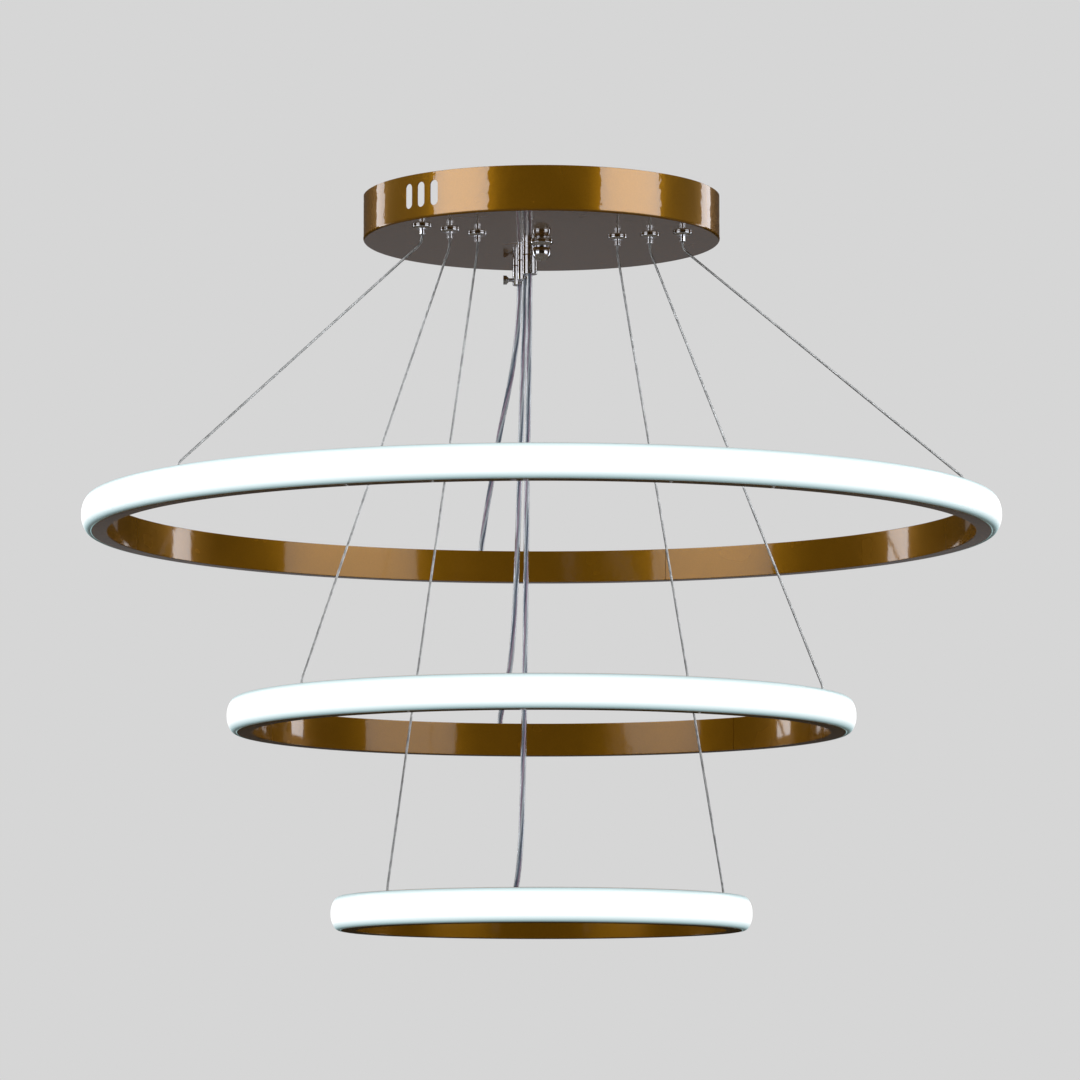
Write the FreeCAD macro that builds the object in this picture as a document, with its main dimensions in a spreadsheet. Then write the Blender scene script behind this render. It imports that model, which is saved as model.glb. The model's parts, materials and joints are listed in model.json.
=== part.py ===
import FreeCAD, Part
import math
import os
import re

import Sketcher

# A three-ring LED chandelier: a round canopy fixed to the ceiling carries three
# coaxial light rings, one below the other, on steel cables and clear power cords.
# Frame: millimetres, +Z up, origin on the ceiling at the middle of the bracket.
# Angles are in degrees about +Z, counted anticlockwise from +X seen from above.

SIZES = {
    # Canopy: a shallow pressed steel dish, open towards the ceiling
    "canopy_radius": 176.0,
    "canopy_height": 44.0,
    "canopy_wall": 1.2,
    "canopy_edge": 2.2,
    "vent_width": 9.5,
    "vent_height": 24.5,
    "vent_rise": 23.5,
    "vent_azimuth": 228.6,
    "vent_pitch": 5.35,
    # Bracket, stud and ball nut that hold the canopy up
    "bracket_length": 190.0,
    "bracket_width": 25.0,
    "bracket_thickness": 3.0,
    "bracket_slot_spacing": 130.0,
    "bracket_slot_length": 36.0,
    "bracket_slot_width": 5.5,
    "stud_radius": 3.0,
    "stud_sink": 0.3,
    "stud_grip": 7.6,
    "lock_nut_across": 10.0,
    "lock_nut_thickness": 5.0,
    "washer_radius": 11.5,
    "washer_rim": 1.5,
    "washer_height": 4.8,
    "washer_foot": 7.7,
    "ball_radius": 9.2,
    "ball_drop": 5.4,
    "ball_bore_depth": 9.0,
    # Fits
    "thread_clearance": 0.05,
    "slip_clearance": 0.15,
    "hole_clearance": 0.3,
    "turning_gap": 0.2,
    # The three suspension lines, and where each ring's line leaves the canopy
    "left_azimuth": 218.5,
    "right_azimuth": 338.5,
    "rear_azimuth": 98.5,
    "large_line_radius": 148.0,
    "medium_line_radius": 114.0,
    "small_line_radius": 80.0,
    # Cable grippers, measured up or down from the canopy's underside
    "gripper_flange_radius": 9.3,
    "gripper_flange_thickness": 1.2,
    "gripper_dome_foot": 5.8,
    "gripper_dome_height": 2.0,
    "gripper_dome_round": 1.0,
    "gripper_spigot_height": 1.5,
    "barrel_radius": 5.0,
    "barrel_height": 17.2,
    "barrel_cap": 2.0,
    "barrel_bore": 4.1,
    "barrel_cable_hole": 1.7,
    "plunger_radius": 3.0,
    "plunger_reach": 6.1,
    "plunger_head_height": 1.4,
    "plunger_travel": 1.0,
    "collet_height": 5.0,
    "collet_foot": 2.7,
    "collet_top": 3.7,
    "spring_outer": 3.7,
    "spring_wire": 0.6,
    "inner_nut_across": 14.0,
    "inner_nut_thickness": 3.0,
    # Cord outlets with their thumb screws, and the splices above them
    "outlet_radius": 7.5,
    "outlet_length": 19.6,
    "outlet_chamfer": 0.5,
    "nipple_radius": 5.0,
    "nipple_height": 13.2,
    "screw_radius": 2.0,
    "screw_rise": 5.6,
    "screw_neck": 5.5,
    "screw_head_radius": 4.6,
    "screw_head_thickness": 3.8,
    "large_screw_azimuth": 180.0,
    "rear_screw_azimuth": 90.0,
    "splice_cap_radius": 4.4,
    "splice_cap_height": 16.0,
    "splice_cap_depth": 11.0,
    # LED driver and mains terminal block on the canopy's floor
    "driver_length": 118.0,
    "driver_width": 44.0,
    "driver_height": 25.0,
    "driver_wall": 1.6,
    "driver_place_x": 14.0,
    "driver_place_y": 36.0,
    "lid_thickness": 2.0,
    "board_thickness": 1.6,
    "board_margin": 1.5,
    "transformer_length": 26.0,
    "transformer_width": 22.0,
    "transformer_height": 16.0,
    "capacitor_radius": 5.0,
    "capacitor_height": 14.0,
    "terminal_length": 38.0,
    "terminal_width": 18.0,
    "terminal_height": 14.0,
    "terminal_hole": 2.4,
    "terminal_pitch": 11.0,
    "terminal_place_x": -108.0,
    "terminal_place_y": 34.0,
    # Rings: outermost radius of each, and its drop from ceiling to top face
    "large_radius": 450.0,
    "medium_radius": 307.0,
    "small_radius": 205.0,
    "large_drop": 303.0,
    "medium_drop": 498.0,
    "small_drop": 690.0,
    # Ring section, the same for all three
    "ring_height": 33.0,
    "channel_depth": 15.0,
    "channel_wall": 1.5,
    "channel_edge": 0.7,
    "diffuser_bulge": 10.0,
    "diffuser_wall": 1.6,
    "diffuser_cheek_depth": 5.5,
    "diffuser_cheek_height": 9.0,
    "diffuser_cheek_round": 22.0,
    "diffuser_corner_round": 6.0,
    "diffuser_hollow_depth": 4.0,
    "diffuser_hollow_height": 7.5,
    "diffuser_hollow_round": 20.0,
    "diffuser_hollow_corner": 3.0,
    "diffuser_leg": 2.5,
    "diffuser_gap": 1.0,
    "diffuser_step": 0.3,
    "seam_width": 0.8,
    "strip_width": 10.0,
    "strip_thickness": 0.8,
    "chip_width": 2.8,
    "chip_height": 3.5,
    "chip_thickness": 0.8,
    "chip_spacing": 50.0,
    "splice_length": 60.0,
    "splice_width": 6.5,
    "splice_thickness": 3.0,
    "grub_radius": 1.5,
    "grub_inset": 12.0,
    "anchor_inset": 7.5,
    "ferrule_radius": 2.8,
    "ferrule_height": 6.0,
    "gland_neck": 3.8,
    "gland_collar": 4.8,
    "gland_height": 6.0,
    "cord_tail": 4.5,
    "large_seam_azimuth": 72.0,
    "medium_seam_azimuth": 46.3,
    "small_seam_azimuth": 285.0,
    # Steel cable and clear power cord
    "cable_radius": 1.2,
    "cable_tail": 5.0,
    "cable_exit_drop": 7.5,
    "cable_exit_bend": 15.0,
    "cable_entry_rise": 8.0,
    "cable_entry_bend": 16.0,
    "cord_radius": 2.75,
}

RINGS = ("large", "medium", "small")
SIDES = ("left", "right")

# How far, in millimetres, a cutter reaches past each face that it cuts through
OVERRUN = 1.0
# The share of a cord's shorter run that the arc at each of its corners takes
BEND_SHARE = 0.45
# Two places nearer than this, in millimetres, are the same place
SAME_PLACE = 1e-4
# Corners of an outline start on a circle this wide, until the sheet moves them
DRAFT_MIDDLE, DRAFT_RADIUS = 10.0, 5.0

# Routes of the clear power cords, each in the upright plane at rear_azimuth:
# (distance from the axis, height), from the splice cap in the canopy down to
# the gland in the ring. The cord hangs slack, so it leaves its outlet steeply
# and sweeps outwards to its ring. The end runs are added by power_cord.
CORD_ROUTES = {
    "large": [
        (148.0, -86.0),
        (177.0, -125.0),
        (232.0, -163.0),
        (286.0, -190.0),
        (334.0, -226.0),
        (382.0, -257.0),
        (413.0, -282.0),
        (432.5, -298.0),
    ],
    "medium": [
        (114.0, -86.0),
        (122.0, -136.0),
        (136.0, -196.0),
        (148.0, -256.0),
        (161.0, -318.0),
        (177.0, -378.0),
        (200.0, -429.0),
        (231.0, -460.0),
        (265.0, -477.0),
        (289.5, -493.0),
    ],
    "small": [
        (80.0, -86.0),
        (84.0, -138.0),
        (90.0, -200.0),
        (97.0, -264.0),
        (102.5, -330.0),
        (107.0, -396.0),
        (112.5, -460.0),
        (119.0, -526.0),
        (128.0, -585.0),
        (141.0, -634.0),
        (159.0, -661.0),
        (176.0, -675.0),
        (187.5, -685.0),
    ],
}

doc = FreeCAD.newDocument("led_ring_chandelier")
sheet = doc.addObject("Spreadsheet::Sheet", "Sizes")
nodes = {}


# ---------------------------------------------------------------- the sheet


def fill_sheet():
    """Write every size in the sheet, one row each, with its name as the alias."""
    for row, (name, value) in enumerate(SIZES.items(), start=1):
        sheet.set(f"A{row}", name)
        sheet.set(f"B{row}", str(value))
        sheet.setAlias(f"B{row}", name)
    doc.recompute()


def size(name):
    """The sheet's value of one size, as a number."""
    return float(sheet.get(name))


def formula(text):
    """A formula in size names, written so that objects can read the sheet."""
    return re.sub(r"[a-z_]+", lambda m: "Sizes." + m[0] if m[0] in SIZES else m[0], text)


def bind(item, **formulas):
    """Tie properties of an object to formulas in size names."""
    for name, text in formulas.items():
        item.setExpression(name, formula(text))


def place(item, x="0", y="0", z="0", turn=None, tilt=None):
    """Put an object at x, y, z; turn is about Z, and tilt lays its Z axis flat first."""
    if tilt is not None:
        lying = FreeCAD.Rotation(FreeCAD.Vector(0, 1, 0), 90)
        item.Placement = FreeCAD.Placement(FreeCAD.Vector(), lying)
    if turn is not None:
        item.Placement = FreeCAD.Placement(
            FreeCAD.Vector(), FreeCAD.Rotation(FreeCAD.Vector(0, 0, 1), 1)
        )
        item.setExpression("Placement.Rotation.Angle", formula(f"({turn}) * 1 deg"))
    for axis, text in zip("xyz", (x, y, z)):
        item.setExpression(f"Placement.Base.{axis}", formula(text))
    return item


def polar(radius, azimuth):
    """Formulas for x and y at a radius and an azimuth."""
    return f"({radius}) * cos(({azimuth}) * 1 deg)", f"({radius}) * sin(({azimuth}) * 1 deg)"


# ------------------------------------------------------------ basic solids


def cylinder(name, radius, height):
    """A cylinder standing on its local XY plane."""
    item = doc.addObject("Part::Cylinder", name)
    bind(item, Radius=radius, Height=height)
    return item


def block(name, length, width, height):
    """A box with one corner at its local origin."""
    item = doc.addObject("Part::Box", name)
    bind(item, Length=length, Width=width, Height=height)
    return item


def cut(name, base, tools):
    """The base with one tool or several taken out of it."""
    item = doc.addObject("Part::Cut", name)
    item.Base = base
    item.Tool = tools[0] if len(tools) == 1 else group(name + "_tools", tools)
    return item


def fuse(name, items):
    """One solid of several that touch or overlap."""
    item = doc.addObject("Part::MultiFuse", name)
    item.Shapes = items
    item.Refine = True
    return item


def group(name, items):
    """Separate solids that are kept together under one name."""
    item = doc.addObject("Part::Compound", name)
    item.Links = items
    return item


def publish(name, item):
    """Name a finished sub-part and put it on the list of what is written out."""
    item.Label = name
    nodes[name] = item
    return item


def origin_plane(body, role):
    """One of a body's own origin planes."""
    return next(f for f in body.Origin.OriginFeatures if f.Role == role)


def draw_outline(sketch, corners):
    """A closed outline whose corners are (across, up) formulas, fully held by the sheet."""
    count = len(corners)
    middle = FreeCAD.Vector(DRAFT_MIDDLE, DRAFT_MIDDLE, 0)
    drafts = []
    for i in range(count + 1):
        outwards = FreeCAD.Vector(math.cos(i), math.sin(i), 0)
        drafts.append(middle + outwards * DRAFT_RADIUS)
    for here, after in zip(drafts, drafts[1:]):
        sketch.addGeometry(Part.LineSegment(here, after), False)
    for i in range(count):
        sketch.addConstraint(Sketcher.Constraint("Coincident", i, 2, (i + 1) % count, 1))
    for i, corner in enumerate(corners):
        for kind, text in zip(("DistanceX", "DistanceY"), corner):
            if text == "0":
                line = -2 if kind == "DistanceX" else -1
                sketch.addConstraint(Sketcher.Constraint("PointOnObject", i, 1, line))
            else:
                draft = DRAFT_MIDDLE + i
                held = sketch.addConstraint(Sketcher.Constraint(kind, -1, 1, i, 1, draft))
                sketch.setExpression(f"Constraints[{held}]", formula(text))


def turned(name, corners):
    """A body turned about its own Z axis; corners are (radius, height) formulas."""
    body = doc.addObject("PartDesign::Body", name)
    sketch = body.newObject("Sketcher::SketchObject", name + "_profile")
    sketch.AttachmentSupport = [(origin_plane(body, "XZ_Plane"), "")]
    sketch.MapMode = "FlatFace"
    draw_outline(sketch, corners)
    turn = body.newObject("PartDesign::Revolution", name + "_turn")
    turn.Profile = sketch
    turn.ReferenceAxis = (sketch, ["V_Axis"])
    turn.Angle = 360
    body.Tip = turn
    return body


def round_edges(body, places, radius):
    """Fillet the circular edges of a turned body that lie at (radius, height)."""
    doc.recompute()
    base = body.Tip
    names = []
    for number, edge in enumerate(base.Shape.Edges, start=1):
        if not isinstance(edge.Curve, Part.Circle):
            continue
        for wanted_radius, wanted_height in places:
            same_radius = abs(edge.Curve.Radius - wanted_radius) < SAME_PLACE
            if same_radius and abs(edge.Curve.Center.z - wanted_height) < SAME_PLACE:
                names.append(f"Edge{number}")
    if len(names) < len(places):
        raise RuntimeError(f"{body.Name}: an edge to round wasn't found")
    fillet = body.newObject("PartDesign::Fillet", body.Name + "_rounding")
    fillet.Base = (base, names)
    bind(fillet, Radius=radius)
    body.Tip = fillet
    return body


def hex_nut(name, across, thickness, bore, x, y, z):
    """A plain hexagon nut with its lower face at z."""
    blank = doc.addObject("Part::Prism", name + "_blank")
    blank.Polygon = 6
    bind(blank, Circumradius=f"({across}) / 2 / cos(30 deg)", Height=thickness)
    bore_length = f"({thickness}) + {2 * OVERRUN}"
    hole = place(cylinder(name + "_bore", bore, bore_length), z=f"-{OVERRUN}")
    return place(cut(name, blank, [hole]), x, y, z)


# ------------------------------------------------------------------ canopy

UNDERSIDE = "-canopy_height"
FLOOR = "canopy_wall - canopy_height"


def line_place(ring, side):
    """Formulas for x and y where a ring's line on one side leaves the canopy."""
    return polar(f"{ring}_line_radius", f"{side}_azimuth")


def vent_tool(name, azimuth):
    """An upright obround cutter that goes through the canopy's rim."""
    depth = "canopy_wall * 6"
    start = "canopy_radius - canopy_wall * 4"
    straight = "(vent_height - vent_width) / 2"
    middle = block(name + "_middle", depth, "vent_width", "vent_height - vent_width")
    place(middle, start, "-vent_width / 2", f"vent_rise - {straight}")
    ends = []
    for word, sign in (("upper", "+"), ("lower", "-")):
        end = cylinder(f"{name}_{word}", "vent_width / 2", depth)
        ends.append(place(end, start, "0", f"vent_rise {sign} {straight}", tilt=True))
    return place(fuse(name, [middle] + ends), turn=azimuth)


def canopy_shell():
    """The dish with its vents and the holes for stud, grippers and outlets."""
    dish = turned(
        "canopy_dish",
        [
            ("stud_radius + hole_clearance * 2", "0"),
            ("canopy_radius", "0"),
            ("canopy_radius", "canopy_height"),
            ("canopy_radius - canopy_wall", "canopy_height"),
            ("canopy_radius - canopy_wall", "canopy_wall"),
            ("stud_radius + hole_clearance * 2", "canopy_wall"),
        ],
    )
    radius, wall = size("canopy_radius"), size("canopy_wall")
    round_edges(dish, [(radius, 0)], "canopy_edge")
    inner = [(radius - wall, wall)]
    round_edges(dish, inner, "canopy_edge - canopy_wall")
    tools = []
    for index, start in enumerate(("vent_azimuth", "vent_azimuth - 180")):
        for step in (-1, 0, 1):
            angle = f"{start} + {step} * vent_pitch"
            tools.append(vent_tool(f"vent_{index}_{step + 1}", angle))
    for ring in RINGS:
        for side in SIDES + ("rear",):
            radius = "nipple_radius" if side == "rear" else "barrel_radius"
            hole = cylinder(
                f"{ring}_{side}_hole",
                f"{radius} + slip_clearance",
                f"canopy_wall + {2 * OVERRUN}",
            )
            x, y = line_place(ring, side)
            tools.append(place(hole, x, y, f"-{OVERRUN}"))
    place(publish("canopy_shell", cut("canopy_shell", dish, tools)), z=UNDERSIDE)


def ceiling_bracket():
    """The flat strap that two screws hold to the ceiling, tapped for the stud."""
    strap = block("strap", "bracket_length", "bracket_width", "bracket_thickness")
    place(strap, "-bracket_length / 2", "-bracket_width / 2", "-bracket_thickness")
    through = f"bracket_thickness + {2 * OVERRUN}"
    foot = f"-bracket_thickness - {OVERRUN}"
    tools = []
    for word, sign in (("left", "-"), ("right", "")):
        straight = block(
            f"slot_{word}",
            "bracket_slot_length - bracket_slot_width",
            "bracket_slot_width",
            through,
        )
        centre = f"{sign}bracket_slot_spacing / 2"
        half = "(bracket_slot_length - bracket_slot_width) / 2"
        parts = [place(straight, f"{centre} - {half}", "-bracket_slot_width / 2", foot)]
        for end, shift in (("inner", "-"), ("outer", "+")):
            round_end = cylinder(f"slot_{word}_{end}", "bracket_slot_width / 2", through)
            parts.append(place(round_end, f"{centre} {shift} {half}", "0", foot))
        tools.append(fuse(f"slot_{word}_cutter", parts))
    tapped = cylinder("strap_thread", "stud_radius + thread_clearance", through)
    tools.append(place(tapped, z=foot))
    publish("ceiling_bracket", cut("ceiling_bracket", strap, tools))


def stud_and_ball_nut():
    """The threaded stud, its lock nut, the dished washer and the ball nut."""
    foot = "-canopy_height - washer_height - turning_gap - stud_grip"
    stud = cylinder("centre_stud", "stud_radius", f"-({foot}) - stud_sink")
    place(publish("centre_stud", stud), z=foot)
    nut = hex_nut(
        "stud_lock_nut",
        "lock_nut_across",
        "lock_nut_thickness",
        "stud_radius + thread_clearance",
        "0",
        "0",
        "-bracket_thickness - lock_nut_thickness",
    )
    publish("stud_lock_nut", nut)
    washer = turned(
        "finial_washer",
        [
            ("stud_radius + hole_clearance", "0"),
            ("washer_foot", "0"),
            ("washer_radius", "washer_height - washer_rim"),
            ("washer_radius", "washer_height"),
            ("stud_radius + hole_clearance", "washer_height"),
        ],
    )
    place(publish("finial_washer", washer), z="-canopy_height - washer_height")
    ball = doc.addObject("Part::Sphere", "ball_blank")
    bind(ball, Radius="ball_radius")
    top = cylinder("ball_top_cutter", f"ball_radius + {OVERRUN}", "ball_radius")
    bore_radius = "stud_radius + thread_clearance"
    bore = cylinder("ball_bore", bore_radius, f"ball_bore_depth + {OVERRUN}")
    place(top, z="ball_drop")
    place(bore, z="ball_drop - ball_bore_depth")
    centre = "-canopy_height - washer_height - turning_gap - ball_drop"
    tools = [fuse("ball_cutter", [top, bore])]
    place(publish("ball_nut", cut("ball_nut", ball, tools)), z=centre)


# ---------------------------------------------------------------- grippers

# The collet's seat stands above the plunger's head by the plunger's travel
HEAD_FOOT = "gripper_spigot_height + slip_clearance / 2"
SEAT = f"{HEAD_FOOT} + plunger_head_height + plunger_travel + turning_gap"


def gripper_flange(name):
    """The chrome flange, domed below, with the spigot that screws in the barrel."""
    seat = "gripper_dome_height + gripper_flange_thickness"
    flange = turned(
        name,
        [
            ("plunger_radius + thread_clearance", "0"),
            ("gripper_dome_foot", "0"),
            ("gripper_flange_radius", "gripper_dome_height"),
            ("gripper_flange_radius", seat),
            ("barrel_bore - thread_clearance", seat),
            ("barrel_bore - thread_clearance", f"{seat} + gripper_spigot_height"),
            ("plunger_radius + thread_clearance", f"{seat} + gripper_spigot_height"),
        ],
    )
    foot = (size("gripper_dome_foot"), 0)
    rim = (size("gripper_flange_radius"), size("gripper_dome_height"))
    return round_edges(flange, [foot, rim], "gripper_dome_round")


def gripper_barrel(name):
    """The threaded barrel, with the cone that closes the collet on the cable."""
    seat_top = f"{SEAT} + collet_height"
    return turned(
        name,
        [
            ("barrel_bore", "0"),
            ("barrel_radius", "0"),
            ("barrel_radius", "barrel_height"),
            ("barrel_cable_hole", "barrel_height"),
            ("barrel_cable_hole", "barrel_height - barrel_cap"),
            ("barrel_bore", "barrel_height - barrel_cap"),
            ("barrel_bore", seat_top),
            ("collet_top", seat_top),
            ("collet_foot", SEAT),
            ("barrel_bore", SEAT),
        ],
    )


def gripper_collet(name):
    """The tapered collet that the spring presses into the barrel's cone."""
    return turned(
        name,
        [
            ("cable_radius + thread_clearance", "0"),
            ("collet_foot - thread_clearance", "0"),
            ("collet_top - thread_clearance", "collet_height"),
            ("cable_radius + thread_clearance", "collet_height"),
        ],
    )


def gripper_plunger(name):
    """The release plunger: a nipple below, and a head kept in by the spigot."""
    stem = "plunger_reach + gripper_dome_height + gripper_flange_thickness"
    shoulder = f"{stem} + {HEAD_FOOT}"
    return turned(
        name,
        [
            ("cable_radius + slip_clearance", "0"),
            ("plunger_radius", "0"),
            ("plunger_radius", shoulder),
            ("barrel_bore - slip_clearance", shoulder),
            ("barrel_bore - slip_clearance", f"{shoulder} + plunger_head_height"),
            ("cable_radius + slip_clearance", f"{shoulder} + plunger_head_height"),
        ],
    )


def gripper_spring(name):
    """The space that the collet spring's turns fill, as a thin sleeve."""
    length = f"barrel_height - barrel_cap - ({SEAT}) - collet_height"
    return turned(
        name,
        [
            ("spring_outer - spring_wire", "0"),
            ("spring_outer", "0"),
            ("spring_outer", length),
            ("spring_outer - spring_wire", length),
        ],
    )


def grippers():
    """Six cable grippers: a left and a right one for each ring."""
    flanges, barrels, collets, springs = [], [], [], []
    dome_foot = f"{UNDERSIDE} - gripper_dome_height - gripper_flange_thickness"
    for ring in RINGS:
        for side in SIDES:
            name = f"{ring}_{side}"
            x, y = line_place(ring, side)
            flange = gripper_flange(f"{name}_flange")
            flanges.append(place(flange, x, y, dome_foot))
            barrels.append(place(gripper_barrel(f"{name}_barrel"), x, y, UNDERSIDE))
            seat = f"{UNDERSIDE} + {SEAT}"
            collets.append(place(gripper_collet(f"{name}_collet"), x, y, seat))
            spring_foot = f"{seat} + collet_height"
            springs.append(place(gripper_spring(f"{name}_spring"), x, y, spring_foot))
            plunger = gripper_plunger(f"{name}_plunger")
            publish(f"{name}_plunger", plunger)
            place(plunger, x, y, f"{dome_foot} - plunger_reach")
    publish("gripper_flanges", group("gripper_flanges", flanges))
    publish("gripper_barrels", group("gripper_barrels", barrels))
    publish("gripper_collets", group("gripper_collets", collets))
    publish("gripper_springs", group("gripper_springs", springs))


def inner_hex_nuts():
    """The nine nuts on the canopy's floor that clamp grippers and outlets."""
    nuts = []
    for ring in RINGS:
        for side in SIDES + ("rear",):
            radius = "nipple_radius" if side == "rear" else "barrel_radius"
            x, y = line_place(ring, side)
            nut = hex_nut(
                f"{ring}_{side}_nut",
                "inner_nut_across",
                "inner_nut_thickness",
                f"{radius} + thread_clearance",
                x,
                y,
                FLOOR,
            )
            nuts.append(nut)
    publish("inner_hex_nuts", group("inner_hex_nuts", nuts))


# ------------------------------------------------------------ cord outlets


def screw_azimuth(ring):
    """The largest ring's thumb screw points sideways, the others to the rear."""
    return "large_screw_azimuth" if ring == "large" else "rear_screw_azimuth"


def cord_outlet(ring):
    """A chrome tube below the canopy with a hollow nipple through it."""
    top = "outlet_length + nipple_height"
    tube = turned(
        f"{ring}_outlet_tube",
        [
            ("cord_radius + slip_clearance", "0"),
            ("outlet_radius - outlet_chamfer", "0"),
            ("outlet_radius", "outlet_chamfer"),
            ("outlet_radius", "outlet_length"),
            ("nipple_radius", "outlet_length"),
            ("nipple_radius", top),
            ("cord_radius + slip_clearance", top),
        ],
    )
    tapped = cylinder(
        f"{ring}_outlet_thread",
        "screw_radius + thread_clearance",
        f"outlet_radius + {OVERRUN}",
    )
    place(tapped, z="screw_rise", tilt=True)
    x, y = line_place(ring, "rear")
    outlet = cut(f"{ring}_outlet", tube, [tapped])
    return place(outlet, x, y, f"{UNDERSIDE} - outlet_length", turn=screw_azimuth(ring))


def thumb_screw(ring):
    """The screw that pinches the cord in its outlet, lying along its own axis."""
    tip = "cord_radius + slip_clearance"
    screw = turned(
        f"{ring}_screw_blank",
        [
            ("0", "0"),
            ("screw_radius", "0"),
            ("screw_radius", f"outlet_radius + screw_neck - ({tip})"),
            ("screw_head_radius", f"outlet_radius + screw_neck - ({tip})"),
            (
                "screw_head_radius",
                f"outlet_radius + screw_neck + screw_head_thickness - ({tip})",
            ),
            ("0", f"outlet_radius + screw_neck + screw_head_thickness - ({tip})"),
        ],
    )
    place(screw, x=tip, tilt=True)
    x, y = line_place(ring, "rear")
    name = f"{ring}_thumb_screw"
    item = publish(name, group(name, [screw]))
    height = f"{UNDERSIDE} - outlet_length + screw_rise"
    place(item, x, y, height, turn=screw_azimuth(ring))


def splice_cap(ring):
    """The crimped cap that joins a power cord to its driver lead."""
    mouth = "cord_radius + slip_clearance"
    cap = turned(
        f"{ring}_splice_cap",
        [
            (mouth, "0"),
            ("splice_cap_radius", "0"),
            ("splice_cap_radius", "splice_cap_height"),
            ("0", "splice_cap_height"),
            ("0", "splice_cap_depth"),
            (mouth, "splice_cap_depth"),
        ],
    )
    x, y = line_place(ring, "rear")
    return place(cap, x, y, f"{UNDERSIDE} + nipple_height + hole_clearance")


def cord_outlets():
    """Three outlets on the rear line, each with its thumb screw and splice cap."""
    outlets, caps = [], []
    for ring in RINGS:
        outlets.append(cord_outlet(ring))
        thumb_screw(ring)
        caps.append(splice_cap(ring))
    publish("cord_outlets", group("cord_outlets", outlets))
    publish("cord_splice_caps", group("cord_splice_caps", caps))


# ---------------------------------------------------------- inside canopy


def driver():
    """The LED driver: a plastic case, its lid and the circuit board inside."""
    inner_length = "driver_length - driver_wall * 2"
    inner_width = "driver_width - driver_wall * 2"
    shell = block("driver_blank", "driver_length", "driver_width", "driver_height")
    hollow = block("driver_hollow", inner_length, inner_width, "driver_height")
    place(hollow, "driver_wall", "driver_wall", "driver_wall")
    case = cut("driver_case", shell, [hollow])
    place(publish("driver_case", case), "driver_place_x", "driver_place_y", FLOOR)
    plate = block("lid_plate", "driver_length", "driver_width", "lid_thickness")
    plug_length = f"{inner_length} - slip_clearance * 2"
    plug_width = f"{inner_width} - slip_clearance * 2"
    plug = block("lid_plug", plug_length, plug_width, "lid_thickness * 2")
    inset = "driver_wall + slip_clearance"
    place(plug, inset, inset, "-lid_thickness")
    lid = fuse("driver_lid", [plate, plug])
    lid_height = f"{FLOOR} + driver_height"
    place(publish("driver_lid", lid), "driver_place_x", "driver_place_y", lid_height)
    board_length = f"{inner_length} - board_margin * 2"
    board_width = f"{inner_width} - board_margin * 2"
    board = block("board_plate", board_length, board_width, "board_thickness")
    transformer = block(
        "board_transformer",
        "transformer_length",
        "transformer_width",
        "transformer_height + board_thickness",
    )
    place(transformer, f"({board_length} - transformer_length) / 2", "board_margin * 2")
    parts = [board, transformer]
    for index in range(2):
        can = cylinder(
            f"board_capacitor_{index}",
            "capacitor_radius",
            "capacitor_height + board_thickness",
        )
        near_end = "capacitor_radius + board_margin * 2"
        x = near_end if index == 0 else f"{board_length} - ({near_end})"
        parts.append(place(can, x, f"({board_width}) / 2"))
    item = publish("driver_board", fuse("driver_board", parts))
    inset = "driver_wall + board_margin"
    x, y = f"driver_place_x + {inset}", f"driver_place_y + {inset}"
    place(item, x, y, f"{FLOOR} + driver_wall")


def terminal_block():
    """The mains terminal block, with a wire hole for each of its three poles."""
    body = block("terminal_body", "terminal_length", "terminal_width", "terminal_height")
    holes = []
    for index in range(3):
        through = f"terminal_width + {2 * OVERRUN}"
        hole = cylinder(f"terminal_wire_{index}", "terminal_hole", through)
        lying = FreeCAD.Rotation(FreeCAD.Vector(1, 0, 0), -90)
        hole.Placement = FreeCAD.Placement(FreeCAD.Vector(), lying)
        x = f"terminal_length / 2 + ({index} - 1) * terminal_pitch"
        holes.append(place(hole, x, f"-{OVERRUN}", "terminal_height / 2"))
    item = publish("terminal_block", cut("terminal_block", body, holes))
    place(item, "terminal_place_x", "terminal_place_y", FLOOR)


# ------------------------------------------------------------------- rings


def inner_radius(ring):
    """Formula for the radius of a ring's inner metal face."""
    return f"{ring}_radius - diffuser_bulge - channel_depth"


def ring_foot(ring):
    """Formula for the height of a ring's underside."""
    return f"-{ring}_drop - ring_height"


def anchor_place(ring, side):
    """Formulas for x and y where a line is anchored in a ring's top flange."""
    return polar(f"{inner_radius(ring)} + anchor_inset", f"{side}_azimuth")


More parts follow.
